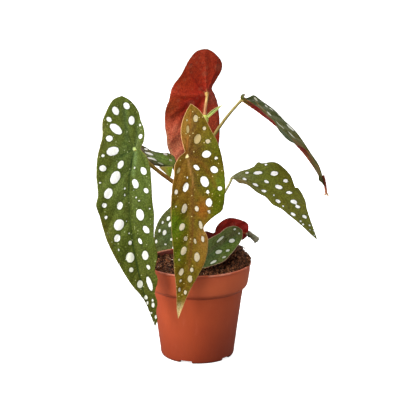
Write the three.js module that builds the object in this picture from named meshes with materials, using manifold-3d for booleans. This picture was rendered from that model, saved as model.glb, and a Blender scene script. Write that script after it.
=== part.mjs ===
// A polka dot begonia in a round nursery pot, in millimetres, +Z up, standing on z = 0.
// The pot's axis is the Z axis. The plant leans its big leaves towards -Y.
import * as THREE from "three";
import { mergeVertices } from "three/addons/utils/BufferGeometryUtils.js";
import Module from "manifold-3d";

const wasm = await Module();
wasm.setup();

// Driving dimensions of the pot.
const rimRadius = 54;
const potHeight = 96.5;
const wall = 1.3;
const collarBottom = 74.6;
const shoulderBottom = 70.5;
const footHeight = 3;
const footRadius = 34.6;
const floorThickness = 1.3;
const potSides = 40;
const notchCount = 5;
const notchWidth = 13;
const firstNotch = -109; // degrees round the pot, from +X
const drainRadius = 3.5;
const drainCircle = 25;

// Driving dimensions of the soil.
const clearance = 0.3; // left between pieces that touch
const soilEdge = 92.5; // height of the soil at its low side
const moundHeight = 14.5;
const moundHeading = 20; // degrees from +X to the side where the soil is heaped
const soilLump = 0.8;
const soilRings = 8;

// Driving dimensions of the plant.
const bladeThickness = 0.8;
const stalkTaper = 0.75; // the stalk's radius at its blade, as a share of that at its foot
const caneFoot = 3.3;
const caneTop = 2.7;
const stemSides = 8;
const stalkSteps = 9;
const caneSteps = 32;

const colour = {
  pot: { color: 0xb4532f, roughness: 0.42 },
  soil: { color: 0x3a241b, roughness: 1 },
  leaf: { color: 0x4c6428, roughness: 0.5 },
  bronze: { color: 0x7a6a25, roughness: 0.5 },
  red: { color: 0x8a1f14, roughness: 0.5 },
  stem: { color: 0x8a8140, roughness: 0.6 },
  stipule: { color: 0x7f9a3a, roughness: 0.6 },
};

// A blade lies along its midrib from the stalk's end (0) towards the tip. Its spine is the midrib as
// a Bezier curve, face the way its upper side looks, and fold how far each half is turned up from
// flat, both at even stations from stalk to tip. A margin lists [across, along] from the top of the
// basal lobe to the tip. Folds are in degrees; curl is the bend across, and lobeCurl the bend of the
// lobes behind the stalk, in radians a millimetre; wave is [height, count, phase].
const leaves = {
  left: {
    spine: [[-60.5, -34, 218], [-68, -50, 168], [-58, -60, 95], [-41.5, -52, 45]],
    face: [[0.1, -1, 0.35], [-0.15, -1, 0.2]],
    fold: { left: [14, 12, 6], right: [14, 12, 6] },
    curl: { left: -0.004, right: -0.004 },
    lobeCurl: -0.003,
    wave: [1.2, 4, 0.5],
    margin: {
      left: [
        [20, -49], [11, -46], [2, -38], [-2, -29], [-7, -19], [-8, -9], [-6, -1], [-12, 5], [-17, 15],
        [-19, 30], [-20, 50], [-21, 65], [-19, 88], [-20, 105], [-15, 120], [-16, 130], [-10, 143],
        [-10, 153], [-6, 163], [-5, 171], [0, 178],
      ],
      right: [
        [20, -49], [28, -43], [33, -30], [35, -20], [33, -6], [35, 10], [35, 26], [33, 43], [35, 53],
        [32, 63], [28, 82], [22, 100], [16, 117], [10, 132], [4, 144], [1, 156], [0, 178],
      ],
    },
    rows: 30,
    columns: 8,
    stalk: [[-21.9, -13.9, 180.5], [-33, -16, 187], [-56, -21, 208], [-60.6, -32.5, 217.5]],
    stalkRadius: 2.2,
    material: "leaf",
  },
  back: {
    spine: [[9.5, 9, 265.5], [2, 26, 225], [0, 36, 185], [-6, 34, 152]],
    face: [[-0.1, 0.95, 0.3], [0, 1, 0.1]],
    fold: { left: [8, 6], right: [8, 6] },
    curl: { left: -0.004, right: -0.004 },
    lobeCurl: 0,
    wave: [1, 3, 1],
    margin: {
      left: [
        [-9, -49], [-19, -43], [-25, -31], [-29, -16], [-35, 1], [-36, 11], [-38, 24], [-36, 44],
        [-34, 51], [-31, 66], [-24, 80], [-15, 94], [-5, 108], [0, 118],
      ],
      right: [
        [-9, -49], [0, -45], [8, -37], [10, -28], [7, -17], [4, -6], [8, 1], [13, 12], [17, 28],
        [20, 50], [19, 75], [14, 95], [7, 110], [0, 118],
      ],
    },
    rows: 24,
    columns: 8,
    stalk: [[7.6, 0, 246.6], [7.4, -0.6, 252], [9.8, -0.5, 262], [9.6, 8, 265.1]],
    stalkRadius: 1.7,
    material: "red",
  },
  front: {
    spine: [[-10, -46, 213.5], [-8, -62, 165], [-10, -67, 105], [-18.5, -62, 56]],
    face: [[0, -1, 0.25], [0, -1, 0.1]],
    fold: { left: [10, 8, 6], right: [12, 8, 6] },
    curl: { left: -0.003, right: -0.003 },
    lobeCurl: -0.003,
    wave: [1.2, 4, 2],
    margin: {
      left: [
        [-6, -51], [-14, -44], [-20, -34], [-25, -23], [-30, -12], [-34, 3], [-36, 20], [-36, 34],
        [-34, 50], [-27, 56], [-21, 61], [-16, 68], [-20, 76], [-21, 87], [-19, 100], [-14, 113],
        [-7, 130], [-3, 145], [0, 160],
      ],
      right: [
        [-6, -51], [-1, -44], [4, -31], [5, -20], [3, -9], [2, -4], [7, 0], [12, 8], [13, 19],
        [15, 30], [16, 48], [15, 70], [12, 93], [10, 110], [6, 131], [3, 150], [0, 160],
      ],
    },
    rows: 30,
    columns: 8,
    stalk: [[4, -3.6, 178], [3, -20, 186], [-9.5, -34, 209], [-10, -44.9, 213.2]],
    stalkRadius: 1.8,
    material: "bronze",
  },
  mid: {
    spine: [[34, -4, 183], [62, -16, 188], [100, -22, 162], [118.5, -24, 124]],
    face: [[-0.3, -0.62, 0.75], [0.5, -0.6, 0.6]],
    fold: { left: [6, 4], right: [10, 4] },
    curl: { left: -0.004, right: 0 },
    lobeCurl: 0,
    wave: [0.8, 4, 0],
    margin: {
      left: [
        [0, -2], [-6, 5], [-11, 13], [-16, 18], [-22, 19.5], [-22, 24], [-28, 32], [-29, 40],
        [-26, 49], [-18, 59], [-20, 62], [-17, 73], [-10, 82], [-4, 96], [0, 111],
      ],
      right: [
        [0, -2], [3, 4], [7, 10], [7, 18], [12, 32], [12, 42], [15, 52], [13, 62], [12, 73],
        [9, 88], [5, 101], [0, 111],
      ],
    },
    rows: 24,
    columns: 8,
    stalk: [[7.8, -0.2, 142.9], [17, -1, 152], [29, -2, 168], [33.5, -3.25, 181.2]],
    stalkRadius: 1.5,
    material: "leaf",
  },
  high: {
    spine: [[44, -2, 261], [70, -4, 244], [112, -8, 214], [129.5, -10, 168]],
    face: [[0.35, -0.1, 1], [0.9, -0.1, 0.6]],
    fold: { left: [12, 11, 9, 10, 9, 7, 11, 8], right: [28, 27, 18, 5, 4, 32, 24, -7, 0] },
    curl: { left: 0, right: 0 },
    lobeCurl: 0.34,
    wave: [0.5, 4, 0],
    margin: {
      left: [
        [0, -9], [-6, -8], [-8, -4], [-7, 2], [-14, 5], [-24, 9], [-25, 20], [-25, 35], [-23, 50],
        [-21, 65], [-18, 85], [-15, 100], [-9, 111], [-3, 118], [-1.8, 125], [0, 128],
      ],
      right: [
        [0, -9], [6, -8], [10, -3], [15, 8], [18, 22], [20, 36], [22, 50], [17, 61], [14, 72],
        [14, 86], [13, 100], [9, 110], [2.5, 118], [1.8, 125], [0, 128],
      ],
    },
    rows: 30,
    columns: 8,
    stalk: [[11.5, -0.1, 212.8], [14, 0, 224], [31, -1, 248], [43.4, -2, 260.1]],
    stalkRadius: 1.8,
    material: "leaf",
  },
  lowFront: {
    spine: [[5, -24, 105], [16, -26, 114], [31, -22, 125], [44, -14, 132]],
    face: [[-0.3, -0.75, 0.55], [0.2, -0.75, 0.6]],
    fold: { left: [5], right: [5] },
    curl: { left: 0, right: 0 },
    lobeCurl: 0,
    wave: [0.4, 3, 0],
    margin: {
      left: [[0, -8], [-8, -5], [-12, 4], [-13, 17], [-11, 29], [-11, 39], [-7, 47], [0, 50]],
      right: [[0, -8], [8, -4], [12.5, 5], [16, 16], [14, 25], [11, 35], [7, 44], [0, 50]],
    },
    rows: 14,
    columns: 6,
    stalk: [[6, -12, 66], [5, -12, 88], [9, -16, 100], [5.6, -23, 104.5]],
    stalkRadius: 1.3,
    material: "leaf",
  },
  lowRed: {
    spine: [[15, 6, 116], [25, 10, 127], [47, 10, 130], [61, 3, 116]],
    face: [
      [-0.1, 0.9, 0.5], [0.2, 0.95, 0.3], [0.3, 0.95, 0.3], [0.4, 0.9, 0.2], [0.4, 0.9, 0.2],
      [0.5, -0.5, 0.8], [0.5, -0.5, 0.8],
    ],
    fold: { left: [5], right: [5] },
    curl: { left: 0, right: 0 },
    lobeCurl: 0,
    wave: [0.4, 3, 0],
    margin: {
      left: [
        [0, -6], [-8, -3], [-11, 6], [-12, 18], [-11, 30], [-8, 38], [-6, 44], [-4, 50], [0, 53],
      ],
      right: [
        [0, -6], [8, -5], [14, 1], [8, 4], [5, 6.5], [10, 11], [14.5, 20], [10, 29], [6, 36], [6, 43],
        [5, 49], [0, 53],
      ],
    },
    rows: 18,
    columns: 6,
    stalk: [[12, 4, 66], [11, 3, 95], [18, 1, 110], [15.9, 4.4, 115.6]],
    stalkRadius: 1.4,
    material: "red",
  },
  behind: {
    spine: [[-26, 6, 198], [-40, 4, 201], [-62, 0, 212], [-84, -4, 208]],
    face: [[0.2, -0.3, 1], [-0.3, -0.3, 1]],
    fold: { left: [-6, -4], right: [8, 10] },
    curl: { left: 0, right: 0 },
    lobeCurl: 0,
    wave: [0.6, 3, 0],
    margin: {
      left: [[0, -5], [-9, -3], [-13, 6], [-15, 18], [-15, 32], [-12, 46], [-6, 56], [0, 61]],
      right: [
        [0, -5], [9, -3], [12, 4], [10, 9], [9, 20], [13, 28], [15, 36], [12, 46], [6, 56], [0, 61],
      ],
    },
    rows: 14,
    columns: 6,
    stalk: [[-18.6, -8.2, 173], [-17, 2, 180], [-23, 8, 188], [-26.2, 6.5, 196.3]],
    stalkRadius: 1.4,
    material: "leaf",
  },
  low: {
    spine: [[-17, 60, 130], [-25, 62, 120], [-33, 64, 94], [-34, 62, 66]],
    face: [[-0.2, -1, 0.6], [-0.2, -1, 0.1]],
    fold: { left: [5], right: [5] },
    curl: { left: 0, right: 0 },
    lobeCurl: 0,
    wave: [0.6, 3, 0],
    margin: {
      left: [
        [3, -12], [-1, -8], [-2, -1], [-9, 6], [-14, 18], [-12.5, 33], [-9, 50], [-5, 62], [0, 70],
      ],
      right: [
        [3, -12], [11, -10], [14, 2], [17, 13], [18, 23], [16, 36], [12, 46], [7, 60], [0, 70],
      ],
    },
    rows: 16,
    columns: 6,
    stalk: [[-12.3, -4.6, 112], [-6, 30, 124], [-4, 64, 128], [-15.3, 61.6, 130.3]],
    stalkRadius: 1.5,
    material: "leaf",
  },
};

// The two stipules are small blades too: thin green flaps where a stalk leaves its stem.
const stipules = {
  top: {
    spine: [[10.7, -2.5, 244.4], [14, -3.6, 248], [19, -4, 252], [25.5, -4, 256.7]],
    face: [[-0.4, -0.8, 0.4], [-0.4, -0.8, 0.4]],
    fold: { left: [20], right: [20] },
    curl: { left: 0, right: 0 },
    lobeCurl: 0,
    wave: [0, 1, 0],
    margin: {
      left: [[0, 0], [-1.8, 1], [-2.2, 6], [-1.8, 12], [-0.9, 16], [0, 18.8]],
      right: [[0, 0], [1.8, 1], [2.2, 6], [1.8, 12], [0.9, 16], [0, 18.8]],
    },
    rows: 9,
    columns: 4,
    material: "stipule",
  },
  left: {
    spine: [[-27, -12.9, 185], [-28.5, -13.1, 189], [-30, -13.4, 193], [-31.6, -13.9, 197]],
    face: [[0, -1, 0.3], [0, -1, 0.3]],
    fold: { left: [12], right: [12] },
    curl: { left: 0, right: 0 },
    lobeCurl: 0,
    wave: [0, 1, 0],
    margin: {
      left: [[0, 0], [-1, 2], [-2.5, 6], [-4.5, 10.5], [-6.5, 15.2]],
      right: [[0, 0], [1.6, 1], [3.6, 4], [5.6, 7.5], [6.6, 9.7], [0, 12.5], [-6.5, 15.2]],
    },
    rows: 9,
    columns: 4,
    material: "stipule",
  },
};

// A cane is a thick upright stem, with a swollen ring at each height where a stalk leaves it.
const canes = {
  main: {
    path: [[-1, 2, 56], [2, 2, 120], [6, 0, 190], [7.5, 0, 246]],
    rings: [0.45, 0.64, 0.82, 0.97],
  },
  left: {
    path: [[-12, -6, 56], [-13, -8, 110], [-17, -11, 150], [-20, -12.8, 178.6]],
    rings: [0.45, 0.97],
  },
};

const point = (xyz) => new THREE.Vector3(...xyz);
const radians = THREE.MathUtils.degToRad;
const smooth = (t) => THREE.MathUtils.smoothstep(t, 0, 1);
const bezier = (points) => new THREE.CubicBezierCurve3(...points.map(point));

// A surface of triangles as one closed manifold-3d solid, and back.
function solidFrom(geometry) {
  const bare = new THREE.BufferGeometry().setAttribute("position", geometry.getAttribute("position"));
  bare.setIndex(geometry.index);
  const merged = mergeVertices(bare, 1e-3);
  return new wasm.Manifold(
    new wasm.Mesh({
      numProp: 3,
      vertProperties: merged.attributes.position.array,
      triVerts: new Uint32Array(merged.index.array),
    }),
  );
}

function geometryFrom(solid) {
  const mesh = solid.getMesh();
  const geometry = new THREE.BufferGeometry();
  geometry.setAttribute("position", new THREE.BufferAttribute(mesh.vertProperties, 3));
  geometry.setIndex(new THREE.BufferAttribute(mesh.triVerts, 1));
  return geometry;
}

function geometryOf(vertices, triangles) {
  const geometry = new THREE.BufferGeometry().setFromPoints(vertices);
  geometry.setIndex(triangles.flat());
  return geometry;
}

function piece(name, geometry, look) {
  geometry.computeVertexNormals();
  const material = new THREE.MeshStandardMaterial({ ...colour[look], metalness: 0, flatShading: true });
  const mesh = new THREE.Mesh(geometry, material);
  mesh.name = name;
  return mesh;
}

// The value at share s of a list whose stations are evenly spaced from 0 to 1.
function station(list, s, mix) {
  const place = THREE.MathUtils.clamp(s, 0, 1) * (list.length - 1);
  const i = Math.min(Math.floor(place), Math.max(list.length - 2, 0));
  return mix(list[i], list[Math.min(i + 1, list.length - 1)], smooth(place - i));
}

// How far a straight length reaches and rises when it is bent evenly by so much a millimetre.
function bentBy(curl, length) {
  if (curl === 0) return [length, 0];
  return [Math.sin(curl * length) / curl, (1 - Math.cos(curl * length)) / curl];
}

// Where the blade's upper side lies, at a distance across and along its midrib.
function bladePoint(leaf, midrib, across, along) {
  const length = midrib.getLength();
  const onMidrib = THREE.MathUtils.clamp(along, 0, length);
  const s = onMidrib / length;
  const tangent = midrib.getTangentAt(s);
  const look = station(leaf.face, s, (a, b, t) => point(a).normalize().lerp(point(b).normalize(), t));
  const side = tangent.clone().cross(look).normalize();
  const up = side.clone().cross(tangent);

  const beyond = along - onMidrib;
  const bend = leaf.lobeCurl * beyond;
  const [reach, lift] = bentBy(leaf.lobeCurl, beyond);
  const at = midrib.getPointAt(s).addScaledVector(tangent, reach).addScaledVector(up, lift);
  up.multiplyScalar(Math.cos(bend)).addScaledVector(tangent, -Math.sin(bend));

  const half = across < 0 ? leaf.fold.left : leaf.fold.right;
  const fold = radians(station(half, s, THREE.MathUtils.lerp));
  const width = Math.abs(across);
  const curl = across < 0 ? leaf.curl.left : leaf.curl.right;
  const [flat, rise] = bentBy(curl, width);
  const [waveHeight, waveCount, wavePhase] = leaf.wave;
  const ripple = waveHeight * (width / 25) ** 2;
  const phase = (2 * Math.PI * waveCount * along) / length + wavePhase + (across < 0 ? 1.3 : 0);
  const out = flat * Math.cos(fold) - rise * Math.sin(fold);
  const high = flat * Math.sin(fold) + rise * Math.cos(fold) + ripple * Math.sin(phase);
  return at.addScaledVector(side, Math.sign(across) * out).addScaledVector(up, high);
}

// How far across a margin lies at each of the rows.
function marginAt(margin, rows) {
  const curve = new THREE.SplineCurve(margin.map((p) => new THREE.Vector2(...p)));
  const outline = curve.getPoints(12 * (margin.length - 1));
  return rows.map((along) => {
    const i = Math.max(outline.findIndex((p) => p.y >= along), 1);
    const [a, b] = [outline[i - 1], outline[i]];
    return THREE.MathUtils.lerp(a.x, b.x, THREE.MathUtils.clamp((along - a.y) / (b.y - a.y), 0, 1));
  });
}

// A leaf blade: rows of points from its lobe to its tip, on both sides of one even thickness.
function makeBlade(name, leaf) {
  const midrib = bezier(leaf.spine);
  const { left, right } = leaf.margin;
  const start = left[0][1];
  const end = left.at(-1)[1];
  const alongs = Array.from({ length: leaf.rows + 1 }, (_, i) => {
    const t = i / leaf.rows;
    return start + (end - start) * (t - (0.6 * Math.sin(2 * Math.PI * t)) / (2 * Math.PI));
  });
  const lefts = marginAt(left, alongs);
  const rights = marginAt(right, alongs);
  const upper = [];
  const lower = [];
  const rowStart = [];
  alongs.forEach((along, i) => {
    const isEnd = i === 0 || i === leaf.rows;
    const centre = along < 0 ? ((lefts[i] + rights[i]) / 2) * Math.min(-along / 20, 1) : 0;
    const inner = 0.15 * (rights[i] - lefts[i]);
    const middle = THREE.MathUtils.clamp(centre, lefts[i] + inner, rights[i] - inner);
    rowStart.push(upper.length);
    for (let j = 0; j <= (isEnd ? 0 : leaf.columns); j++) {
      const c = (2 * j) / leaf.columns - 1;
      const across = isEnd ? left.at(i === 0 ? 0 : -1)[0]
        : middle + c * (c < 0 ? middle - lefts[i] : rights[i] - middle);
      const here = bladePoint(leaf, midrib, across, along);
      const acrossStep = bladePoint(leaf, midrib, across + 0.5, along).sub(here);
      const alongStep = bladePoint(leaf, midrib, across, along + 0.5).sub(here);
      const normal = acrossStep.cross(alongStep).normalize();
      upper.push(here);
      lower.push(here.clone().addScaledVector(normal, -bladeThickness));
    }
  });
  const count = upper.length;
  const at = (i, j) => rowStart[i] + (i === 0 || i === leaf.rows ? 0 : j);
  const triangles = [];
  const add = (a, b, c) => {
    if (a !== b && b !== c && c !== a) triangles.push([a, b, c]);
  };
  for (let i = 0; i < leaf.rows; i++) {
    for (let j = 0; j < leaf.columns; j++) {
      const [a, b, c, d] = [at(i, j), at(i, j + 1), at(i + 1, j), at(i + 1, j + 1)];
      add(a, b, c);
      add(b, d, c);
      add(count + a, count + c, count + b);
      add(count + b, count + c, count + d);
    }
    const [a, c] = [at(i, 0), at(i + 1, 0)];
    const [b, d] = [at(i, leaf.columns), at(i + 1, leaf.columns)];
    triangles.push([a, c, count + a], [c, count + c, count + a]);
    triangles.push([b, count + b, d], [d, count + b, count + d]);
  }
  return piece(name, geometryOf([...upper, ...lower], triangles), leaf.material);
}

// A closed tube along a curve, whose radius follows radiusAt from its foot (0) to its top (1).
function makeTube(path, radiusAt, steps, sides) {
  const frames = path.computeFrenetFrames(steps, false);
  const vertices = [];
  const triangles = [];
  for (let i = 0; i <= steps; i++) {
    const centre = path.getPointAt(i / steps);
    for (let k = 0; k < sides; k++) {
      const angle = (2 * Math.PI * k) / sides;
      const radius = radiusAt(i / steps);
      vertices.push(
        centre
          .clone()
          .addScaledVector(frames.normals[i], radius * Math.cos(angle))
          .addScaledVector(frames.binormals[i], radius * Math.sin(angle)),
      );
    }
  }
  for (let i = 0; i < steps; i++) {
    for (let k = 0; k < sides; k++) {
      const [a, b] = [i * sides + k, i * sides + ((k + 1) % sides)];
      triangles.push([a, b, b + sides], [a, b + sides, a + sides]);
    }
  }
  const foot = vertices.push(path.getPointAt(0)) - 1;
  const top = vertices.push(path.getPointAt(1)) - 1;
  for (let k = 0; k < sides; k++) {
    const next = (k + 1) % sides;
    triangles.push([foot, next, k], [top, steps * sides + k, steps * sides + next]);
  }
  return geometryOf(vertices, triangles);
}

function makeStalk(name, leaf) {
  const radiusAt = (t) => leaf.stalkRadius * THREE.MathUtils.lerp(1, stalkTaper, t);
  return piece(name, makeTube(bezier(leaf.stalk), radiusAt, stalkSteps, stemSides), "stem");
}

const caneRadius = (cane, extra) => (t) => {
  const swell = cane.rings.reduce((sum, ring) => sum + 0.7 * Math.exp(-(((t - ring) / 0.02) ** 2)), 0);
  return THREE.MathUtils.lerp(caneFoot, caneTop, t) + swell + extra;
};

function makeCane(name, cane) {
  return piece(name, makeTube(bezier(cane.path), caneRadius(cane, 0), caneSteps, stemSides + 2), "stem");
}

// The pot's outside from the foot up and its inside back down, each [radius, height].
const potOutside = [
  [footRadius, 0], [footRadius + 1.7, 1.2], [footRadius + 2.4, 3], [39, 18.4], [41.8, 39.7],
  [44.2, 57.7], [46.1, shoulderBottom - 1.5], [46.5, shoulderBottom], [49, shoulderBottom + 2],
  [50.6, collarBottom], [52.7, 87], [rimRadius - 0.9, potHeight - 2.2], [rimRadius, potHeight - 1.7],
  [rimRadius, potHeight - 0.4], [rimRadius - 0.4, potHeight],
];
const potInside = [
  [rimRadius - 1.9, potHeight], [rimRadius - 2.4, potHeight - 0.8], [52.7 - wall, 87],
  [50.6 - wall, collarBottom - 0.6], [46.5 - wall, shoulderBottom - 0.4], [44.2 - wall, 57.7],
  [41.8 - wall, 39.7], [39 - wall, 18.4], [footRadius + 0.8, footHeight + floorThickness + 2],
  [footRadius - 1, footHeight + floorThickness],
];

function latheUp(profile) {
  const outline = profile.map(([radius, height]) => new THREE.Vector2(radius, height));
  return new THREE.LatheGeometry(outline, potSides).rotateX(Math.PI / 2);
}

function makePot() {
  const floorTop = footHeight + floorThickness;
  const padRadius = 10;
  const body = solidFrom(
    latheUp([
      [0, 0], [padRadius, 0], [padRadius + 0.8, footHeight], [footRadius - 3.4, footHeight],
      [footRadius - 2.6, 0], ...potOutside, ...potInside, [0, floorTop],
    ]),
  );
  const notch = wasm.Manifold.cube([12, notchWidth, 2 * footHeight], true).translate([footRadius, 0, 0]);
  const drain = wasm.Manifold.cylinder(4 * floorThickness, drainRadius, drainRadius, 12, true)
    .translate([drainCircle, 0, footHeight + floorThickness / 2]);
  let pot = body;
  for (let i = 0; i < notchCount; i++) {
    const angle = firstNotch + (360 * i) / notchCount;
    pot = pot.subtract(notch.rotate([0, 0, angle])).subtract(drain.rotate([0, 0, angle]));
  }
  return piece("pot", geometryFrom(pot), "pot");
}

// The soil's surface: low on the left, heaped towards one side, with small lumps.
function soilHeight(x, y) {
  const heading = radians(moundHeading);
  const towards = x * Math.cos(heading) + y * Math.sin(heading);
  const edge = 1 - 0.6 * smooth((Math.hypot(x, y) - 46) / 6.5);
  const heap = moundHeight * smooth((towards - 6) / 34) * edge;
  const lumps = Math.sin(0.45 * x + 1) * Math.cos(0.38 * y) + 0.6 * Math.sin(0.9 * x - 0.7 * y + 2);
  return soilEdge + heap + soilLump * lumps;
}

function soilGeometry() {
  const vertices = [point([0, 0, soilHeight(0, 0)])];
  const triangles = [];
  const topRadius = rimRadius - 2.4 - 2 * clearance;
  const ringRadii = Array.from({ length: soilRings }, (_, i) => (topRadius * (i + 1)) / soilRings);
  const wallRings = potInside.slice(2).map(([radius, height]) => [radius - 1.5 * clearance, height]);
  wallRings.at(-1)[1] += clearance;
  const ring = (radius, heightAt) => {
    for (let k = 0; k < potSides; k++) {
      const angle = (2 * Math.PI * k) / potSides;
      const [x, y] = [radius * Math.cos(angle), radius * Math.sin(angle)];
      vertices.push(point([x, y, heightAt(x, y)]));
    }
  };
  ringRadii.forEach((radius) => ring(radius, soilHeight));
  wallRings.forEach(([radius, height]) => ring(radius, () => height));
  const rings = ringRadii.length + wallRings.length;
  const bottom = vertices.push(point([0, 0, wallRings.at(-1)[1]])) - 1;
  for (let k = 0; k < potSides; k++) {
    const next = (k + 1) % potSides;
    triangles.push([0, 1 + k, 1 + next]);
    for (let i = 0; i < rings - 1; i++) {
      const [a, b] = [1 + i * potSides + k, 1 + i * potSides + next];
      triangles.push([a, a + potSides, b], [b, a + potSides, b + potSides]);
    }
    triangles.push([bottom, 1 + (rings - 1) * potSides + next, 1 + (rings - 1) * potSides + k]);
  }
  return geometryOf(vertices, triangles);
}

// Each stem that enters the soil stands in a hole of its own shape, a little wider and deeper.
function stemHole(points, radiusAt) {
  const [foot, ...rest] = points;
  const path = bezier([[foot[0], foot[1], foot[2] - clearance], ...rest]);
  return solidFrom(makeTube(path, radiusAt, 24, stemSides + 2));
}

function makeSoil() {
  let soil = solidFrom(soilGeometry());
  for (const cane of Object.values(canes)) {
    soil = soil.subtract(stemHole(cane.path, (t) => caneRadius(cane, 0)(t) + 1.6 * clearance));
  }
  for (const leaf of [leaves.lowFront, leaves.lowRed]) {
    soil = soil.subtract(stemHole(leaf.stalk, () => leaf.stalkRadius + 1.6 * clearance));
  }
  return piece("soil", geometryFrom(soil), "soil");
}

const nodeName = (words) => words.replace(/[A-Z]/g, (letter) => "_" + letter.toLowerCase());

const group = new THREE.Group();
group.add(makePot());
group.add(makeSoil());
for (const [name, cane] of Object.entries(canes)) {
  group.add(makeCane(nodeName(name) + "_cane", cane));
}
for (const [name, leaf] of Object.entries(leaves)) {
  group.add(makeBlade(nodeName(name) + "_leaf_blade", leaf));
  group.add(makeStalk(nodeName(name) + "_leaf_stalk", leaf));
}
for (const [name, stipule] of Object.entries(stipules)) {
  group.add(makeBlade(nodeName(name) + "_stipule", stipule));
}

export default group;
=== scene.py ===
import math
import random

import bpy
import numpy as np
from mathutils import Matrix, Vector, noise


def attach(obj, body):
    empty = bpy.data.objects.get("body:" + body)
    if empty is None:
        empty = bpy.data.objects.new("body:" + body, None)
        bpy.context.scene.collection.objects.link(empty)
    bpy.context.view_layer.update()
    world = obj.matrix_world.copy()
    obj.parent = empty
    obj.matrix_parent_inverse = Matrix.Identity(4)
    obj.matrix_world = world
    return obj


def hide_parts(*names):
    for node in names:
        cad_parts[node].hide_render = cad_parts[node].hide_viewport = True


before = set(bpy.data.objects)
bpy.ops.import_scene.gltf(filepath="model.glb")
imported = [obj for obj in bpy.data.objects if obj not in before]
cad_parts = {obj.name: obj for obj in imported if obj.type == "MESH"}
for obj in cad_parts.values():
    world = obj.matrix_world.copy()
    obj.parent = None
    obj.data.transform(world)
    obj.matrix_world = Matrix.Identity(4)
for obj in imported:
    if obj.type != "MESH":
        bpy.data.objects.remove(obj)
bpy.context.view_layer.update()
mm = 0.001

# camera, floor and light

cameraLook = {
    "target": (2.6, 0, 159.5),  # mm
    "distance": 1500,
    "elevation": 13.5,  # degrees above level
    "lens": 135.8,
}
studioLook = {
    "floorSize": 14,  # metres
    "floorBounce": 0.2,  # how much light the paper throws back
    "skyStrength": 0.33,
    "lamps": [  # place in metres, size, watts, colour
        ((-2.1, -1.3, 1.15), 2.3, 110, (1.0, 0.985, 0.955)),
        ((-0.4, -1.7, 2.1), 1.4, 21, (1.0, 0.99, 0.97)),
        ((1.9, -0.5, 0.8), 0.8, 9.5, (0.98, 0.985, 1.0)),
        ((0.6, 1.6, 1.4), 0.9, 19, (1.0, 1.0, 1.0)),
    ],
}


def srgb(red, green, blue):
    return tuple((c / 255) ** 2.2 for c in (red, green, blue)) + (1.0,)


def makeCamera(look):
    target = Vector(look["target"]) * mm
    tilt = math.radians(look["elevation"])
    away = Vector((0, -math.cos(tilt), math.sin(tilt)))
    data = bpy.data.cameras.new("frontCamera")
    data.lens = look["lens"]
    data.sensor_width = 36
    data.clip_end = 50
    camera = bpy.data.objects.new("frontCamera", data)
    camera.location = target + away * look["distance"] * mm
    camera.rotation_euler = (target - camera.location).to_track_quat("-Z", "Y").to_euler()
    bpy.context.collection.objects.link(camera)
    bpy.context.scene.camera = camera


def paperMaterial(look):  # white to look at, duller for the light it throws back
    paper = bpy.data.materials.new("floorPaper")
    paper.use_nodes = True
    tree = paper.node_tree
    shader = tree.nodes["Principled BSDF"]
    seen = tree.nodes.new("ShaderNodeLightPath").outputs["Is Camera Ray"]
    for label, dull, bright in (("Base Color", look["floorBounce"], 0.9), ("Emission Color", 0, 0.75)):
        mix = tree.nodes.new("ShaderNodeMix")
        mix.data_type = "RGBA"
        mix.inputs[6].default_value = (dull, dull, dull, 1)
        mix.inputs[7].default_value = (bright, bright, bright, 1)
        tree.links.new(seen, mix.inputs[0])
        tree.links.new(mix.outputs[2], shader.inputs[label])
    shader.inputs["Emission Strength"].default_value = 1
    shader.inputs["Roughness"].default_value = 0.9
    shader.inputs["Specular IOR Level"].default_value = 0.1
    return paper


def makeSky(look):
    world = bpy.data.worlds.new("softSky")
    world.use_nodes = True
    tree = world.node_tree
    background = tree.nodes["Background"]
    background.inputs["Color"].default_value = (1, 1, 1, 1)
    seen = tree.nodes.new("ShaderNodeLightPath").outputs["Is Camera Ray"]
    strength = tree.nodes.new("ShaderNodeMapRange")
    strength.inputs["To Min"].default_value = look["skyStrength"]
    strength.inputs["To Max"].default_value = 1.02
    tree.links.new(seen, strength.inputs["Value"])
    tree.links.new(strength.outputs["Result"], background.inputs["Strength"])
    bpy.context.scene.world = world


def makeStudio(look):
    half = look["floorSize"] / 2
    mesh = bpy.data.meshes.new("floor")
    corners = [(-half, -half, 0), (half, -half, 0), (half, half, 0), (-half, half, 0)]
    mesh.from_pydata(corners, [], [(0, 1, 2, 3)])
    floor = bpy.data.objects.new("floor", mesh)
    bpy.context.collection.objects.link(floor)
    mesh.materials.append(paperMaterial(look))
    for i, (place, size, power, colour) in enumerate(look["lamps"]):
        data = bpy.data.lights.new("softLamp%d" % i, "AREA")
        data.shape = "DISK"
        data.size = size
        data.energy = power
        data.color = colour
        lamp = bpy.data.objects.new("softLamp%d" % i, data)
        lamp.location = place
        lamp.rotation_euler = (Vector((0, 0, 0.15)) - Vector(place)).to_track_quat("-Z", "Y").to_euler()
        bpy.context.collection.objects.link(lamp)
    makeSky(look)
    bpy.context.scene.view_settings.view_transform = "Standard"


makeCamera(cameraLook)
makeStudio(studioLook)
print("camera and light ready")

# shader helpers


def addNode(tree, kind, **values):
    node = tree.nodes.new("ShaderNode" + kind)
    for name, value in values.items():
        setattr(node, name, value)
    return node


def feed(tree, socket, value):
    if isinstance(value, bpy.types.NodeSocket):
        tree.links.new(value, socket)
    else:
        socket.default_value = value


def maths(tree, operation, a, b=0.0):
    node = addNode(tree, "Math", operation=operation)
    feed(tree, node.inputs[0], a)
    feed(tree, node.inputs[1], b)
    return node.outputs[0]


def times(tree, a, b):
    return maths(tree, "MULTIPLY", a, b)


def inverse(tree, value):
    return maths(tree, "SUBTRACT", 1.0, value)


def fade(tree, value, low, high):  # 0 at low, 1 at high, eased
    node = addNode(tree, "MapRange", interpolation_type="SMOOTHSTEP")
    feed(tree, node.inputs["Value"], value)
    feed(tree, node.inputs["From Min"], low)
    feed(tree, node.inputs["From Max"], high)
    return node.outputs["Result"]


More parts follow.
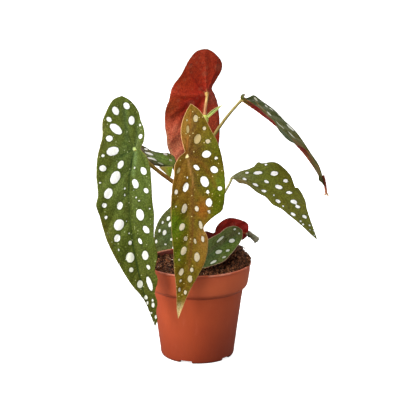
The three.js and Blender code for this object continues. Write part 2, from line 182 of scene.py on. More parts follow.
def spread(tree, value, low, high):  # 0..1 out to low..high
    node = addNode(tree, "MapRange")
    feed(tree, node.inputs["Value"], value)
    feed(tree, node.inputs["To Min"], low)
    feed(tree, node.inputs["To Max"], high)
    return node.outputs["Result"]


def mixColours(tree, factor, a, b, blend="MIX"):
    node = addNode(tree, "Mix", data_type="RGBA", blend_type=blend)
    feed(tree, node.inputs[0], factor)
    feed(tree, node.inputs[6], a)
    feed(tree, node.inputs[7], b)
    return node.outputs[2]


def clouds(tree, place, scale, detail=3.0, roughness=0.55, stretch=None):
    if stretch:
        mapping = addNode(tree, "Mapping")
        feed(tree, mapping.inputs["Vector"], place)
        mapping.inputs["Scale"].default_value = stretch
        place = mapping.outputs[0]
    node = addNode(tree, "TexNoise")
    feed(tree, node.inputs["Vector"], place)
    node.inputs["Scale"].default_value = scale
    node.inputs["Detail"].default_value = detail
    node.inputs["Roughness"].default_value = roughness
    return node.outputs["Fac"]


def cells(tree, place, scale, feature="F1"):
    node = addNode(tree, "TexVoronoi", feature=feature)
    feed(tree, node.inputs["Vector"], place)
    node.inputs["Scale"].default_value = scale
    return node.outputs["Distance"]


def bump(tree, height, distance, strength=1.0, normal=None):
    node = addNode(tree, "Bump")
    node.inputs["Strength"].default_value = strength
    node.inputs["Distance"].default_value = distance
    feed(tree, node.inputs["Height"], height)
    if normal is not None:
        feed(tree, node.inputs["Normal"], normal)
    return node.outputs[0]


def attribute(tree, name, output="Fac"):
    return addNode(tree, "Attribute", attribute_name=name).outputs[output]


def newGroup(name, inputs, outputs):
    group = bpy.data.node_groups.new(name, "ShaderNodeTree")
    for label, kind, value in inputs:
        socket = group.interface.new_socket(label, in_out="INPUT", socket_type="NodeSocket" + kind)
        if value is not None:
            socket.default_value = value
    for label, kind in outputs:
        group.interface.new_socket(label, in_out="OUTPUT", socket_type="NodeSocket" + kind)
    entry = group.nodes.new("NodeGroupInput").outputs
    out = group.nodes.new("NodeGroupOutput").inputs
    return group, entry, out


def useGroup(tree, group, **values):
    node = addNode(tree, "Group")
    node.node_tree = group
    for name, value in values.items():
        feed(tree, node.inputs[name], value)
    return node.outputs


def newMaterial(name, **shaderValues):
    material = bpy.data.materials.new(name)
    material.use_nodes = True
    shader = material.node_tree.nodes["Principled BSDF"]
    for label, value in shaderValues.items():
        shader.inputs[label.replace("_", " ")].default_value = value
    return material, material.node_tree, shader


# shared leaf and stem effects


def makeVeinGroup():
    group, entry, out = newGroup(
        "leafVeins",
        [("Place", "Vector", None), ("Distance", "Float", 5.0), ("Width", "Float", 0.7)],
        [("Veins", "Float"), ("Shoulder", "Float"), ("Net", "Float")],
    )
    ragged = spread(group, clouds(group, entry["Place"], 0.35, 2.0), -0.35, 0.35)
    near = maths(group, "ADD", entry["Distance"], ragged)
    feed(group, out["Veins"], inverse(group, fade(group, near, 0.0, entry["Width"])))
    feed(group, out["Shoulder"], fade(group, entry["Distance"], 0.0, 5.0))
    # the small veins make a net between the large ones
    net = cells(group, entry["Place"], 0.24, "DISTANCE_TO_EDGE")
    feed(group, out["Net"], inverse(group, fade(group, net, 0.0, 0.12)))
    return group


def makeSkinGroup():
    group, entry, out = newGroup(
        "leafSkin",
        [("Place", "Vector", None), ("Grain", "Float", 1.3)],
        [
            ("Blotch", "Float"), ("Pebble", "Float"), ("Fleck", "Float"), ("Cloud", "Float"),
            ("Speck", "Float"),
        ],
    )
    scaled = addNode(group, "VectorMath", operation="SCALE")
    feed(group, scaled.inputs[0], entry["Place"])
    feed(group, scaled.inputs["Scale"], entry["Grain"])
    feed(group, out["Cloud"], clouds(group, entry["Place"], 0.05, 3.0, 0.55))
    feed(group, out["Blotch"], clouds(group, entry["Place"], 0.22, 4.0, 0.65))
    feed(group, out["Pebble"], cells(group, scaled.outputs[0], 0.7))
    feed(group, out["Fleck"], clouds(group, entry["Place"], 0.8, 3.0, 0.75))
    # a few pinprick dots: the middle of some cells only
    dots = addNode(group, "TexVoronoi", feature="F1")
    feed(group, dots.inputs["Vector"], entry["Place"])
    dots.inputs["Scale"].default_value = 0.3
    chosen = addNode(group, "SeparateColor")
    feed(group, chosen.inputs[0], dots.outputs["Color"])
    near = fade(group, dots.outputs["Distance"], 0.2, 0.12)
    feed(group, out["Speck"], times(group, near, fade(group, chosen.outputs[0], 0.66, 0.7)))
    return group


def makeSpotGroup():
    group, entry, out = newGroup(
        "leafSpots",
        [("Place", "Vector", None), ("Inside", "Float", 0.0), ("Soft", "Float", 0.3)],
        [("Spot", "Float"), ("Halo", "Float")],
    )
    wobble = spread(group, clouds(group, entry["Place"], 0.5, 2.0), -0.45, 0.35)
    inside = maths(group, "ADD", entry["Inside"], wobble)
    low = times(group, entry["Soft"], -1.0)
    feed(group, out["Spot"], fade(group, inside, low, entry["Soft"]))
    outer, inner = fade(group, inside, -1.3, -0.2), fade(group, inside, -0.1, 0.4)
    feed(group, out["Halo"], maths(group, "SUBTRACT", outer, inner))
    return group


def makeStreakGroup():
    group, entry, out = newGroup(
        "stemStreaks",
        [("Place", "Vector", None)],
        [("Streak", "Float"), ("Mottle", "Float"), ("Dash", "Float")],
    )
    feed(group, out["Streak"], clouds(group, entry["Place"], 700, 3.0, 0.6, (1, 1, 0.09)))
    feed(group, out["Mottle"], clouds(group, entry["Place"], 120, 3.0, 0.6))
    dash = cells(group, entry["Place"], 150)
    feed(group, out["Dash"], inverse(group, fade(group, dash, 0.12, 0.2)))
    return group


leafVeins = makeVeinGroup()
leafSkin = makeSkinGroup()
leafSpots = makeSpotGroup()
stemStreaks = makeStreakGroup()

# leaf shape


def unit(vectors):
    vectors = np.asarray(vectors, float)
    return vectors / np.linalg.norm(vectors, axis=-1, keepdims=True)


def station(values, share):  # evenly spaced values, eased from one to the next
    values = np.asarray(values, float)
    if len(values) == 1:
        return np.broadcast_to(values[0], np.shape(share) + values[0].shape)
    place = np.clip(share, 0, 1) * (len(values) - 1)
    i = np.minimum(place.astype(int), len(values) - 2)
    t = place - i
    t = t * t * (3 - 2 * t)
    if values.ndim > 1:
        t = t[..., None]
    return values[i] * (1 - t) + values[i + 1] * t


class Midrib:
    def __init__(self, spine):
        self.points = np.array(spine, float)
        self.t = np.linspace(0, 1, 401)
        steps = np.linalg.norm(np.diff(self.at(self.t), axis=0), axis=1)
        self.run = np.concatenate([[0], np.cumsum(steps)])
        self.length = self.run[-1]

    def at(self, t):
        t = np.asarray(t, float)[..., None]
        a, b, c, d = self.points
        return (1 - t) ** 3 * a + 3 * (1 - t) ** 2 * t * b + 3 * (1 - t) * t * t * c + t ** 3 * d

    def heading(self, t):
        t = np.asarray(t, float)[..., None]
        a, b, c, d = self.points
        return unit(3 * (1 - t) ** 2 * (b - a) + 6 * (1 - t) * t * (c - b) + 3 * t * t * (d - c))


def bentBy(curl, length):
    curl = np.where(np.abs(curl) < 1e-6, 1e-6, curl)
    return np.sin(curl * length) / curl, (1 - np.cos(curl * length)) / curl


def bladePoint(leaf, midrib, across, along):
    onMidrib = np.clip(along, 0, midrib.length)
    share = onMidrib / midrib.length
    t = np.interp(onMidrib, midrib.run, midrib.t)
    tangent = midrib.heading(t)
    side = unit(np.cross(tangent, unit(station(unit(leaf["face"]), share))))
    up = np.cross(side, tangent)
    beyond = along - onMidrib
    bend = leaf["lobeCurl"] * beyond
    reach, lift = bentBy(leaf["lobeCurl"], beyond)
    at = midrib.at(t) + tangent * reach[..., None] + up * lift[..., None]
    up = up * np.cos(bend)[..., None] - tangent * np.sin(bend)[..., None]
    isLeft = across < 0
    leftFold, rightFold = station(leaf["fold"][0], share), station(leaf["fold"][1], share)
    fold = np.radians(np.where(isLeft, leftFold, rightFold))
    width = np.abs(across)
    flat, rise = bentBy(np.where(isLeft, leaf["curl"][0], leaf["curl"][1]), width)
    height, count, start = leaf["wave"]
    phase = 2 * math.pi * count * along / midrib.length + start + np.where(isLeft, 1.3, 0)
    out = flat * np.cos(fold) - rise * np.sin(fold)
    high = flat * np.sin(fold) + rise * np.cos(fold) + height * (width / 25) ** 2 * np.sin(phase)
    return at + side * (np.sign(across) * out)[..., None] + up * high[..., None]


def throughPoints(points, steps=12):
    points = np.array(points, float)
    padded = np.vstack([points[0], points, points[-1]])
    line = []
    for i in range(len(points) - 1):
        a, b, c, d = padded[i:i + 4]
        for k in range(steps):
            t = k / steps
            bend, twist = 2 * a - 5 * b + 4 * c - d, 3 * b - a - 3 * c + d
            line.append(0.5 * (2 * b + (c - a) * t + bend * t * t + twist * t ** 3))
    return np.array(line + [points[-1]])


def marginAt(margin, along):
    line = throughPoints(margin)
    rising = np.maximum.accumulate(line[:, 1]) + np.arange(len(line)) * 1e-7
    return np.interp(along, rising, line[:, 0])


def spotDepth(spots, across, along):  # mm inside the nearest spot, negative outside
    depth = np.full(across.shape, -9.0)
    tone = np.zeros(across.shape)
    for u, v, halfWidth, halfLength, tilt, shade in spots:
        angle = math.radians(tilt)
        du, dv = across - u, along - v
        longways = du * math.sin(angle) + dv * math.cos(angle)
        sideways = du * math.cos(angle) - dv * math.sin(angle)
        q = np.sqrt((sideways / halfWidth) ** 2 + (longways / halfLength) ** 2)
        inside = (1 - q) * halfWidth
        tone = np.where(inside > depth, shade, tone)
        depth = np.maximum(depth, inside)
    return depth, tone


def veinLines(leaf):  # the midrib, then the side veins, as lines of (across, along)
    left, right = leaf["margin"]
    end = left[-1][1]
    midrib = np.array(leaf.get("midrib", [(0, 0), (0, end)]), float)
    lines = [np.array(line, float) for line in leaf["fan"]]
    slope = leaf["veinSlope"]
    for margin, starts in zip((left, right), leaf["sideVeins"]):
        for start in starts:
            root = np.array([np.interp(start, midrib[:, 1], midrib[:, 0]), start])
            width = marginAt(margin, start) - root[0]
            for k in range(3):
                width = 0.92 * marginAt(margin, min(start + slope * abs(width), end)) - root[0]
            tip = root + np.array([width, slope * abs(width)])
            bend = root + np.array([width * 0.55, slope * abs(width) * 0.38])
            t = np.linspace(0, 1, 9)[:, None]
            lines.append((1 - t) ** 2 * root + 2 * t * (1 - t) * bend + t * t * tip)
    return midrib, lines


def lineDistance(lines, across, along, fadeOut=0.8):  # mm to the nearest line, a little more near its end
    nearest = np.full(across.shape, 40.0)
    for line in lines:
        for i in range(len(line) - 1):
            a, b = line[i], line[i + 1]
            step = b - a
            share = ((across - a[0]) * step[0] + (along - a[1]) * step[1]) / max(step @ step, 1e-9)
            t = np.clip(share, 0, 1)
            gap = np.hypot(across - a[0] - t * step[0], along - a[1] - t * step[1])
            nearest = np.minimum(nearest, gap + fadeOut * ((i + t) / (len(line) - 1)) ** 2)
    return nearest


def zoneColours(zones, base, across, along):
    total = np.ones(across.shape)
    colour = np.ones(across.shape + (3,)) * np.array(srgb(*base)[:3])
    for u, v, radius, strength, shade in zones:
        weight = strength * np.exp(-((across - u) ** 2 + ((along - v) * 0.7) ** 2) / radius ** 2)
        colour += weight[..., None] * np.array(srgb(*shade)[:3])
        total += weight
    return colour / total[..., None]


def strokeColours(strokes, colour, across, along):  # vein tints and edges, and painted crease shade, lit strips and sheen
    for line, width, strength, shade in strokes:
        gap = lineDistance([np.array(line, float)], across, along, 0)
        weight = np.clip(strength * np.exp(-(gap / width) ** 2), 0, 1)[..., None]
        colour = colour * (1 - weight) + weight * np.array(srgb(*shade)[:3])
    return colour


def uneven(alongs, seed, fineSeed):  # how a margin strays from its line
    coarse = [noise.noise(Vector((v * 0.33, *seed))) for v in alongs]
    fine = [noise.noise(Vector((v * 0.9, *fineSeed))) for v in alongs]
    return np.array([a + 0.6 * b for a, b in zip(coarse, fine)])


def bladeGrid(leaf):  # where each point lies in the flat leaf, and how far from its edge
    left, right = leaf["margin"]
    start, end = left[0][1], left[-1][1]
    rows = max(int((end - start) / leaf["step"]), 12)
    t = np.arange(rows + 1) / rows
    alongs = start + (end - start) * (t - 0.5 * np.sin(2 * math.pi * t) / (2 * math.pi))
    lefts = marginAt(left, alongs) + uneven(alongs, (5, 1), (1, 3)) * leaf["ragged"]
    rights = marginAt(right, alongs) + uneven(alongs, (9, 7), (4, 8)) * leaf["ragged"]
    columns = max(int(2 * round((rights - lefts).max() / leaf["step"] / 2)), 8)
    centre = np.where(alongs < 0, (lefts + rights) / 2 * np.clip(-alongs / 20, 0, 1), 0)
    inner = 0.15 * (rights - lefts)
    middle = np.clip(centre, lefts + inner, rights - inner)
    c = np.linspace(-1, 1, columns + 1)[None, :]
    across = middle[:, None] + c * np.where(c < 0, (middle - lefts)[:, None], (rights - middle)[:, None])
    along = np.repeat(alongs[:, None], columns + 1, axis=1)
    toSides = np.minimum(across - lefts[:, None], rights[:, None] - across)
    toEnds = np.minimum(along - start, end - along) * 0.8
    return across, along, np.maximum(np.minimum(toSides, toEnds), 0)


# both sides, closed along the edge; the first and last row are one point each
def bladeFaces(rows, columns):
    keep = [
        i * (columns + 1) + j
        for i in range(rows + 1)
        for j in range(columns + 1)
        if 0 < i < rows or j == columns // 2
    ]
    place = {k: n for n, k in enumerate(keep)}
    count = len(keep)
    faces, sides = [], []

    def at(i, j):
        return place[i * (columns + 1) + (columns // 2 if i in (0, rows) else j)]

    def face(side, *corners):
        faces.append([k for n, k in enumerate(corners) if k != corners[n - 1]])
        sides.append(side)

    for i in range(rows):
        for j in range(columns):
            a, b, c, d = at(i, j), at(i, j + 1), at(i + 1, j), at(i + 1, j + 1)
            face(0, a, b, d, c)
            face(1, count + a, count + c, count + d, count + b)
        for j, flip in ((0, False), (columns, True)):
            a, c = at(i, j), at(i + 1, j)
            ring = (a, c, count + c, count + a)
            face(0, *(ring[::-1] if flip else ring))
    return keep, faces, sides


def addMesh(name, points, faces, materials, smooth=True):
    mesh = bpy.data.meshes.new(name)
    mesh.from_pydata(points, [], faces)
    for material in materials:
        mesh.materials.append(material)
    mesh.polygons.foreach_set("use_smooth", [smooth] * len(faces))
    mesh.update()
    piece = bpy.data.objects.new(name, mesh)
    bpy.context.collection.objects.link(piece)
    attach(piece, "root")
    return piece


def makeBlade(name, leaf, materials):
    midrib = Midrib(leaf["spine"])
    end = leaf["margin"][0][-1][1]
    across, along, edge = bladeGrid(leaf)
    here = bladePoint(leaf, midrib, across, along)
    sideways = bladePoint(leaf, midrib, across + 0.4, along) - here
    onward = bladePoint(leaf, midrib, across, along + 0.4) - here
    normal = unit(np.cross(sideways, onward))
    midribLine, sideLines = veinLines(leaf)
    ribGap = lineDistance([midribLine], across, along, 0)
    veinGap = lineDistance(sideLines, across, along)

    # the blade puffs up between its veins, and the veins stand out below
    inward = np.clip(edge / leaf["edgeReach"], 0, 1)
    taper = np.clip(1 - along / end, 0, 1) ** 0.7
    puff = leaf["puff"] * (0.5 - np.exp(-np.minimum(veinGap, ribGap) / leaf["puffReach"])) * inward
    rib = leaf["rib"] * np.exp(-(ribGap / leaf["ribSpread"]) ** 2) * taper
    vein = leaf["sideRib"] * np.exp(-(veinGap / leaf["sideRibSpread"]) ** 2) * inward
    upper = here + normal * puff[..., None]
    thick = leaf["edgeThick"] + leaf["moreThick"] * inward + rib + vein
    lower = here + normal * (puff - thick)[..., None]

    keep, faces, sides = bladeFaces(across.shape[0] - 1, across.shape[1] - 1)
    points = np.vstack([upper.reshape(-1, 3)[keep], lower.reshape(-1, 3)[keep]]) * mm
    blade = addMesh(name, points.tolist(), faces, materials)
    mesh = blade.data
    mesh.polygons.foreach_set("material_index", sides)

    def store(label, kind, key, values):  # the same value for the point above and the one below
        flat = np.asarray(values).reshape(-1, *np.shape(values)[2:])[keep]
        attributeData = mesh.attributes.new(label, kind, "POINT").data
        attributeData.foreach_set(key, np.concatenate([flat, flat]).ravel())

    depth, tone = spotDepth(leaf["spots"], across, along)
    if leaf["fan"]:
        joint = np.hypot(across, along) + 1.3 * np.minimum(veinGap, ribGap)
    else:
        joint = np.full(across.shape, 20.0)
    rimAmount = np.full(across.shape, leaf["rimBase"])
    for u, v, radius, amount in leaf["rimPlaces"]:
        rimAmount += amount * np.exp(-((across - u) ** 2 + ((along - v) * 0.7) ** 2) / radius ** 2)
    masks = {
        "spot": depth, "spotTone": tone, "edge": edge, "rib": ribGap, "vein": veinGap, "joint": joint,
        "rimAmount": np.clip(rimAmount, 0, 1),
    }
    for label, values in masks.items():
        store(label, "FLOAT", "value", values)
    flatPlace = np.stack([across, along, np.zeros(across.shape)], axis=-1)
    store("leafPlace", "FLOAT_VECTOR", "vector", flatPlace)
    colourSources = (("upperColour", "zones", "strokes"), ("underColour", "underZones", "underStrokes"))
    for label, zones, strokes in colourSources:
        colour = zoneColours(leaf[zones][1:], leaf[zones][0], across, along)
        colour = strokeColours(leaf[strokes], colour, across, along)
        opaque = np.concatenate([colour, np.ones(across.shape + (1,))], axis=-1)
        store(label, "FLOAT_COLOR", "color", opaque)
    mesh.update()
    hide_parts(leaf["node"])


# leaf materials


def tinted(tree, amount, colour, tint):
    return mixColours(tree, amount, colour, mixColours(tree, 1.0, colour, tint, "MULTIPLY"))


def skinTinted(tree, skin, colour, tints):  # clouds, blotches, flecks and the gaps between pebbles
    ranges = {"Cloud": (0.35, 0.65), "Blotch": (0.4, 0.68), "Fleck": (0.45, 0.6), "Pebble": (0.35, 0.75)}
    for (label, (low, high)), tint in zip(ranges.items(), tints):
        colour = tinted(tree, fade(tree, skin[label], low, high), colour, tint)
    return colour


def upperMaterial(name, look):
    material, tree, shader = newMaterial(name, Specular_IOR_Level=look["shine"])
    place = attribute(tree, "leafPlace", "Vector")
    veinGap = attribute(tree, "vein")
    veins = useGroup(tree, leafVeins, Place=place, Distance=veinGap, Width=look["veinWidth"])
    skin = useGroup(tree, leafSkin, Place=place, Grain=look["grain"])
    spots = useGroup(tree, leafSpots, Place=place, Inside=attribute(tree, "spot"), Soft=0.2)
    rib = attribute(tree, "rib")
    colour = attribute(tree, "upperColour", "Color")
    colour = skinTinted(tree, skin, colour, [look[key] for key in ("cloud", "blotch", "fleck", "gap")])
    pebbles = times(tree, fade(tree, skin["Pebble"], 0.4, 0.1), look["pebbleShow"])
    colour = mixColours(tree, pebbles, colour, look["pebble"])
    colour = mixColours(tree, times(tree, veins["Net"], look["netShow"]), colour, look["vein"])
    colour = mixColours(tree, times(tree, veins["Veins"], look["veinShow"]), colour, look["vein"])
    ribMask = inverse(tree, fade(tree, rib, 0.2, look["ribWidth"]))
    colour = mixColours(tree, times(tree, ribMask, look["ribShow"]), colour, look["midrib"])
    colour = tinted(tree, times(tree, spots["Halo"], look["haloShow"]), colour, look["halo"])
    cream = mixColours(tree, attribute(tree, "spotTone"), look["creamSpot"], look["whiteSpot"])
    cream = tinted(tree, times(tree, fade(tree, skin["Fleck"], 0.4, 0.7), 0.8), cream, look["spotGrain"])
    colour = mixColours(tree, spots["Spot"], colour, cream)
    colour = mixColours(tree, times(tree, skin["Speck"], look["speckShow"]), colour, look["speck"])
    rimWobble = maths(tree, "ADD", attribute(tree, "edge"), spread(tree, skin["Fleck"], -0.35, 0.35))
    rim = inverse(tree, fade(tree, rimWobble, 0.1, look["rimWidth"]))
    rim = times(tree, rim, attribute(tree, "rimAmount"))
    colour = mixColours(tree, times(tree, rim, look["rimShow"]), colour, look["rim"])
    # the pale place where the stalk is joined, and its rays along the veins
    joint = maths(tree, "ADD", attribute(tree, "joint"), spread(tree, skin["Fleck"], -0.7, 0.7))
    jointMask = times(tree, fade(tree, joint, 3.0, 1.6), look["jointShow"])
    colour = mixColours(tree, jointMask, colour, look["joint"])
    feed(tree, shader.inputs["Base Color"], colour)
    rough = spread(tree, skin["Fleck"], look["rough"] - 0.08, look["rough"] + 0.12)
    feed(tree, shader.inputs["Roughness"], maths(tree, "ADD", rough, times(tree, spots["Spot"], 0.1)))
    relief = maths(tree, "ADD", veins["Shoulder"], times(tree, skin["Blotch"], 0.6))
    relief = maths(tree, "SUBTRACT", relief, times(tree, veins["Net"], 0.25))
    normal = bump(tree, relief, 0.0006, 0.6)
    normal = bump(tree, inverse(tree, skin["Pebble"]), 0.0003, 0.6, normal)
    feed(tree, shader.inputs["Normal"], normal)
    return material


def underMaterial(name, look):
    material, tree, shader = newMaterial(name, Specular_IOR_Level=look["underShine"])
    place = attribute(tree, "leafPlace", "Vector")
    veins = useGroup(tree, leafVeins, Place=place, Distance=attribute(tree, "vein"), Width=1.0)
    skin = useGroup(tree, leafSkin, Place=place, Grain=1.1)
    spots = useGroup(tree, leafSpots, Place=place, Inside=attribute(tree, "spot"), Soft=0.9)
    colour = attribute(tree, "underColour", "Color")
    underTints = ("underCloud", "underBlotch", "underFleck", "underPebble")
    colour = skinTinted(tree, skin, colour, [look[key] for key in underTints])
    colour = mixColours(tree, times(tree, spots["Spot"], look["underSpots"]), colour, look["creamSpot"])
    colour = mixColours(tree, times(tree, veins["Net"], look["underNetShow"]), colour, look["underVein"])
    colour = mixColours(tree, times(tree, veins["Veins"], look["underVeinShow"]), colour, look["underVein"])
    ribMask = inverse(tree, fade(tree, attribute(tree, "rib"), 0.3, 1.5))
    colour = mixColours(tree, times(tree, ribMask, look["underRibShow"]), colour, look["underMidrib"])
    rim = inverse(tree, fade(tree, attribute(tree, "edge"), 0.1, look["underRimWidth"]))
    colour = mixColours(tree, times(tree, rim, look["underRimShow"]), colour, look["underRim"])
    joint = maths(tree, "ADD", attribute(tree, "joint"), spread(tree, skin["Fleck"], -0.8, 0.8))
    jointMask = times(tree, fade(tree, joint, 3.4, 1.6), look["jointShow"])
    colour = mixColours(tree, jointMask, colour, look["underJoint"])
    feed(tree, shader.inputs["Base Color"], colour)
    feed(tree, shader.inputs["Roughness"], spread(tree, skin["Fleck"], 0.42, 0.62))
    relief = maths(tree, "SUBTRACT", times(tree, skin["Blotch"], 0.6), veins["Shoulder"])
    relief = maths(tree, "ADD", relief, times(tree, veins["Net"], 0.3))
    normal = bump(tree, relief, 0.0006, 0.6)
    normal = bump(tree, skin["Pebble"], 0.0003, 0.6, normal)
    feed(tree, shader.inputs["Normal"], normal)
    return material


# how strongly each effect shows, and its colour; the other looks change some of these
plainLook = {
    "veinWidth": 0.9, "veinShow": 0.55, "netShow": 0.14, "ribWidth": 1.0, "ribShow": 0.6, "grain": 1.0,
    "pebbleShow": 0.45, "speckShow": 0.0, "jointShow": 0.9, "spotGrain": (0.88, 0.88, 0.82, 1),
    "halo": (0.56, 0.64, 0.44, 1), "haloShow": 0.8, "rimWidth": 0.8, "rimShow": 0.7, "rough": 0.5,
    "shine": 0.22, "underShine": 0.25, "underCloud": (0.82, 0.72, 0.72, 1),
    "underFleck": (0.66, 0.56, 0.56, 1), "underPebble": (0.8, 0.68, 0.68, 1), "underSpots": 0.05,
    "underNetShow": 0.2, "underVeinShow": 0.45, "underRibShow": 0.6, "underRimWidth": 1.2,
    "underRimShow": 0.75, "underBlotch": (0.72, 0.58, 0.58, 1), "underVein": srgb(112, 22, 14),
    "underMidrib": srgb(176, 90, 50), "underRim": srgb(84, 46, 24), "underJoint": srgb(226, 190, 120),
}
greenLook = {
    **plainLook, "cloud": (0.95, 0.88, 0.72, 1), "blotch": (0.84, 0.86, 0.7, 1),
    "fleck": (0.7, 0.72, 0.5, 1), "gap": (0.74, 0.7, 0.6, 1), "pebble": srgb(124, 134, 62),
    "vein": srgb(40, 52, 16), "midrib": srgb(34, 56, 22), "joint": srgb(206, 226, 140),
    "whiteSpot": srgb(250, 250, 246), "creamSpot": srgb(186, 190, 150), "speck": srgb(186, 190, 150),
    "rim": srgb(112, 104, 40),
}
bronzeLook = {
    **greenLook, "cloud": (1.0, 0.86, 0.7, 1), "blotch": (0.9, 0.8, 0.66, 1),
    "fleck": (0.84, 0.82, 0.66, 1), "pebble": srgb(148, 120, 44), "pebbleShow": 0.25,
    "vein": srgb(86, 54, 14), "midrib": srgb(150, 104, 48), "joint": srgb(238, 222, 160),
    "rim": srgb(222, 172, 118), "whiteSpot": srgb(252, 252, 246), "creamSpot": srgb(166, 148, 104),
    "ribShow": 0.12, "shine": 0.1, "rough": 0.6, "spotGrain": (0.8, 0.76, 0.64, 1),
}
oliveLook = {
    **greenLook, "cloud": (1.0, 0.9, 0.7, 1), "vein": srgb(70, 76, 14), "midrib": srgb(84, 96, 26),
    "pebble": srgb(116, 116, 40), "rim": srgb(96, 88, 24), "joint": srgb(170, 166, 120), "veinShow": 0.35,
    "whiteSpot": srgb(255, 255, 255), "spotGrain": (0.97, 0.97, 0.95, 1),
}
darkLook = {
    **greenLook, "cloud": (0.85, 0.9, 0.85, 1), "blotch": (0.74, 0.82, 0.74, 1),
    "pebble": srgb(84, 104, 60), "vein": srgb(34, 48, 22), "shine": 0.08, "rough": 0.62,
    "midrib": srgb(84, 92, 50), "joint": srgb(150, 150, 96), "rim": srgb(92, 80, 44),
    "whiteSpot": srgb(214, 218, 206), "creamSpot": srgb(150, 158, 130),
}
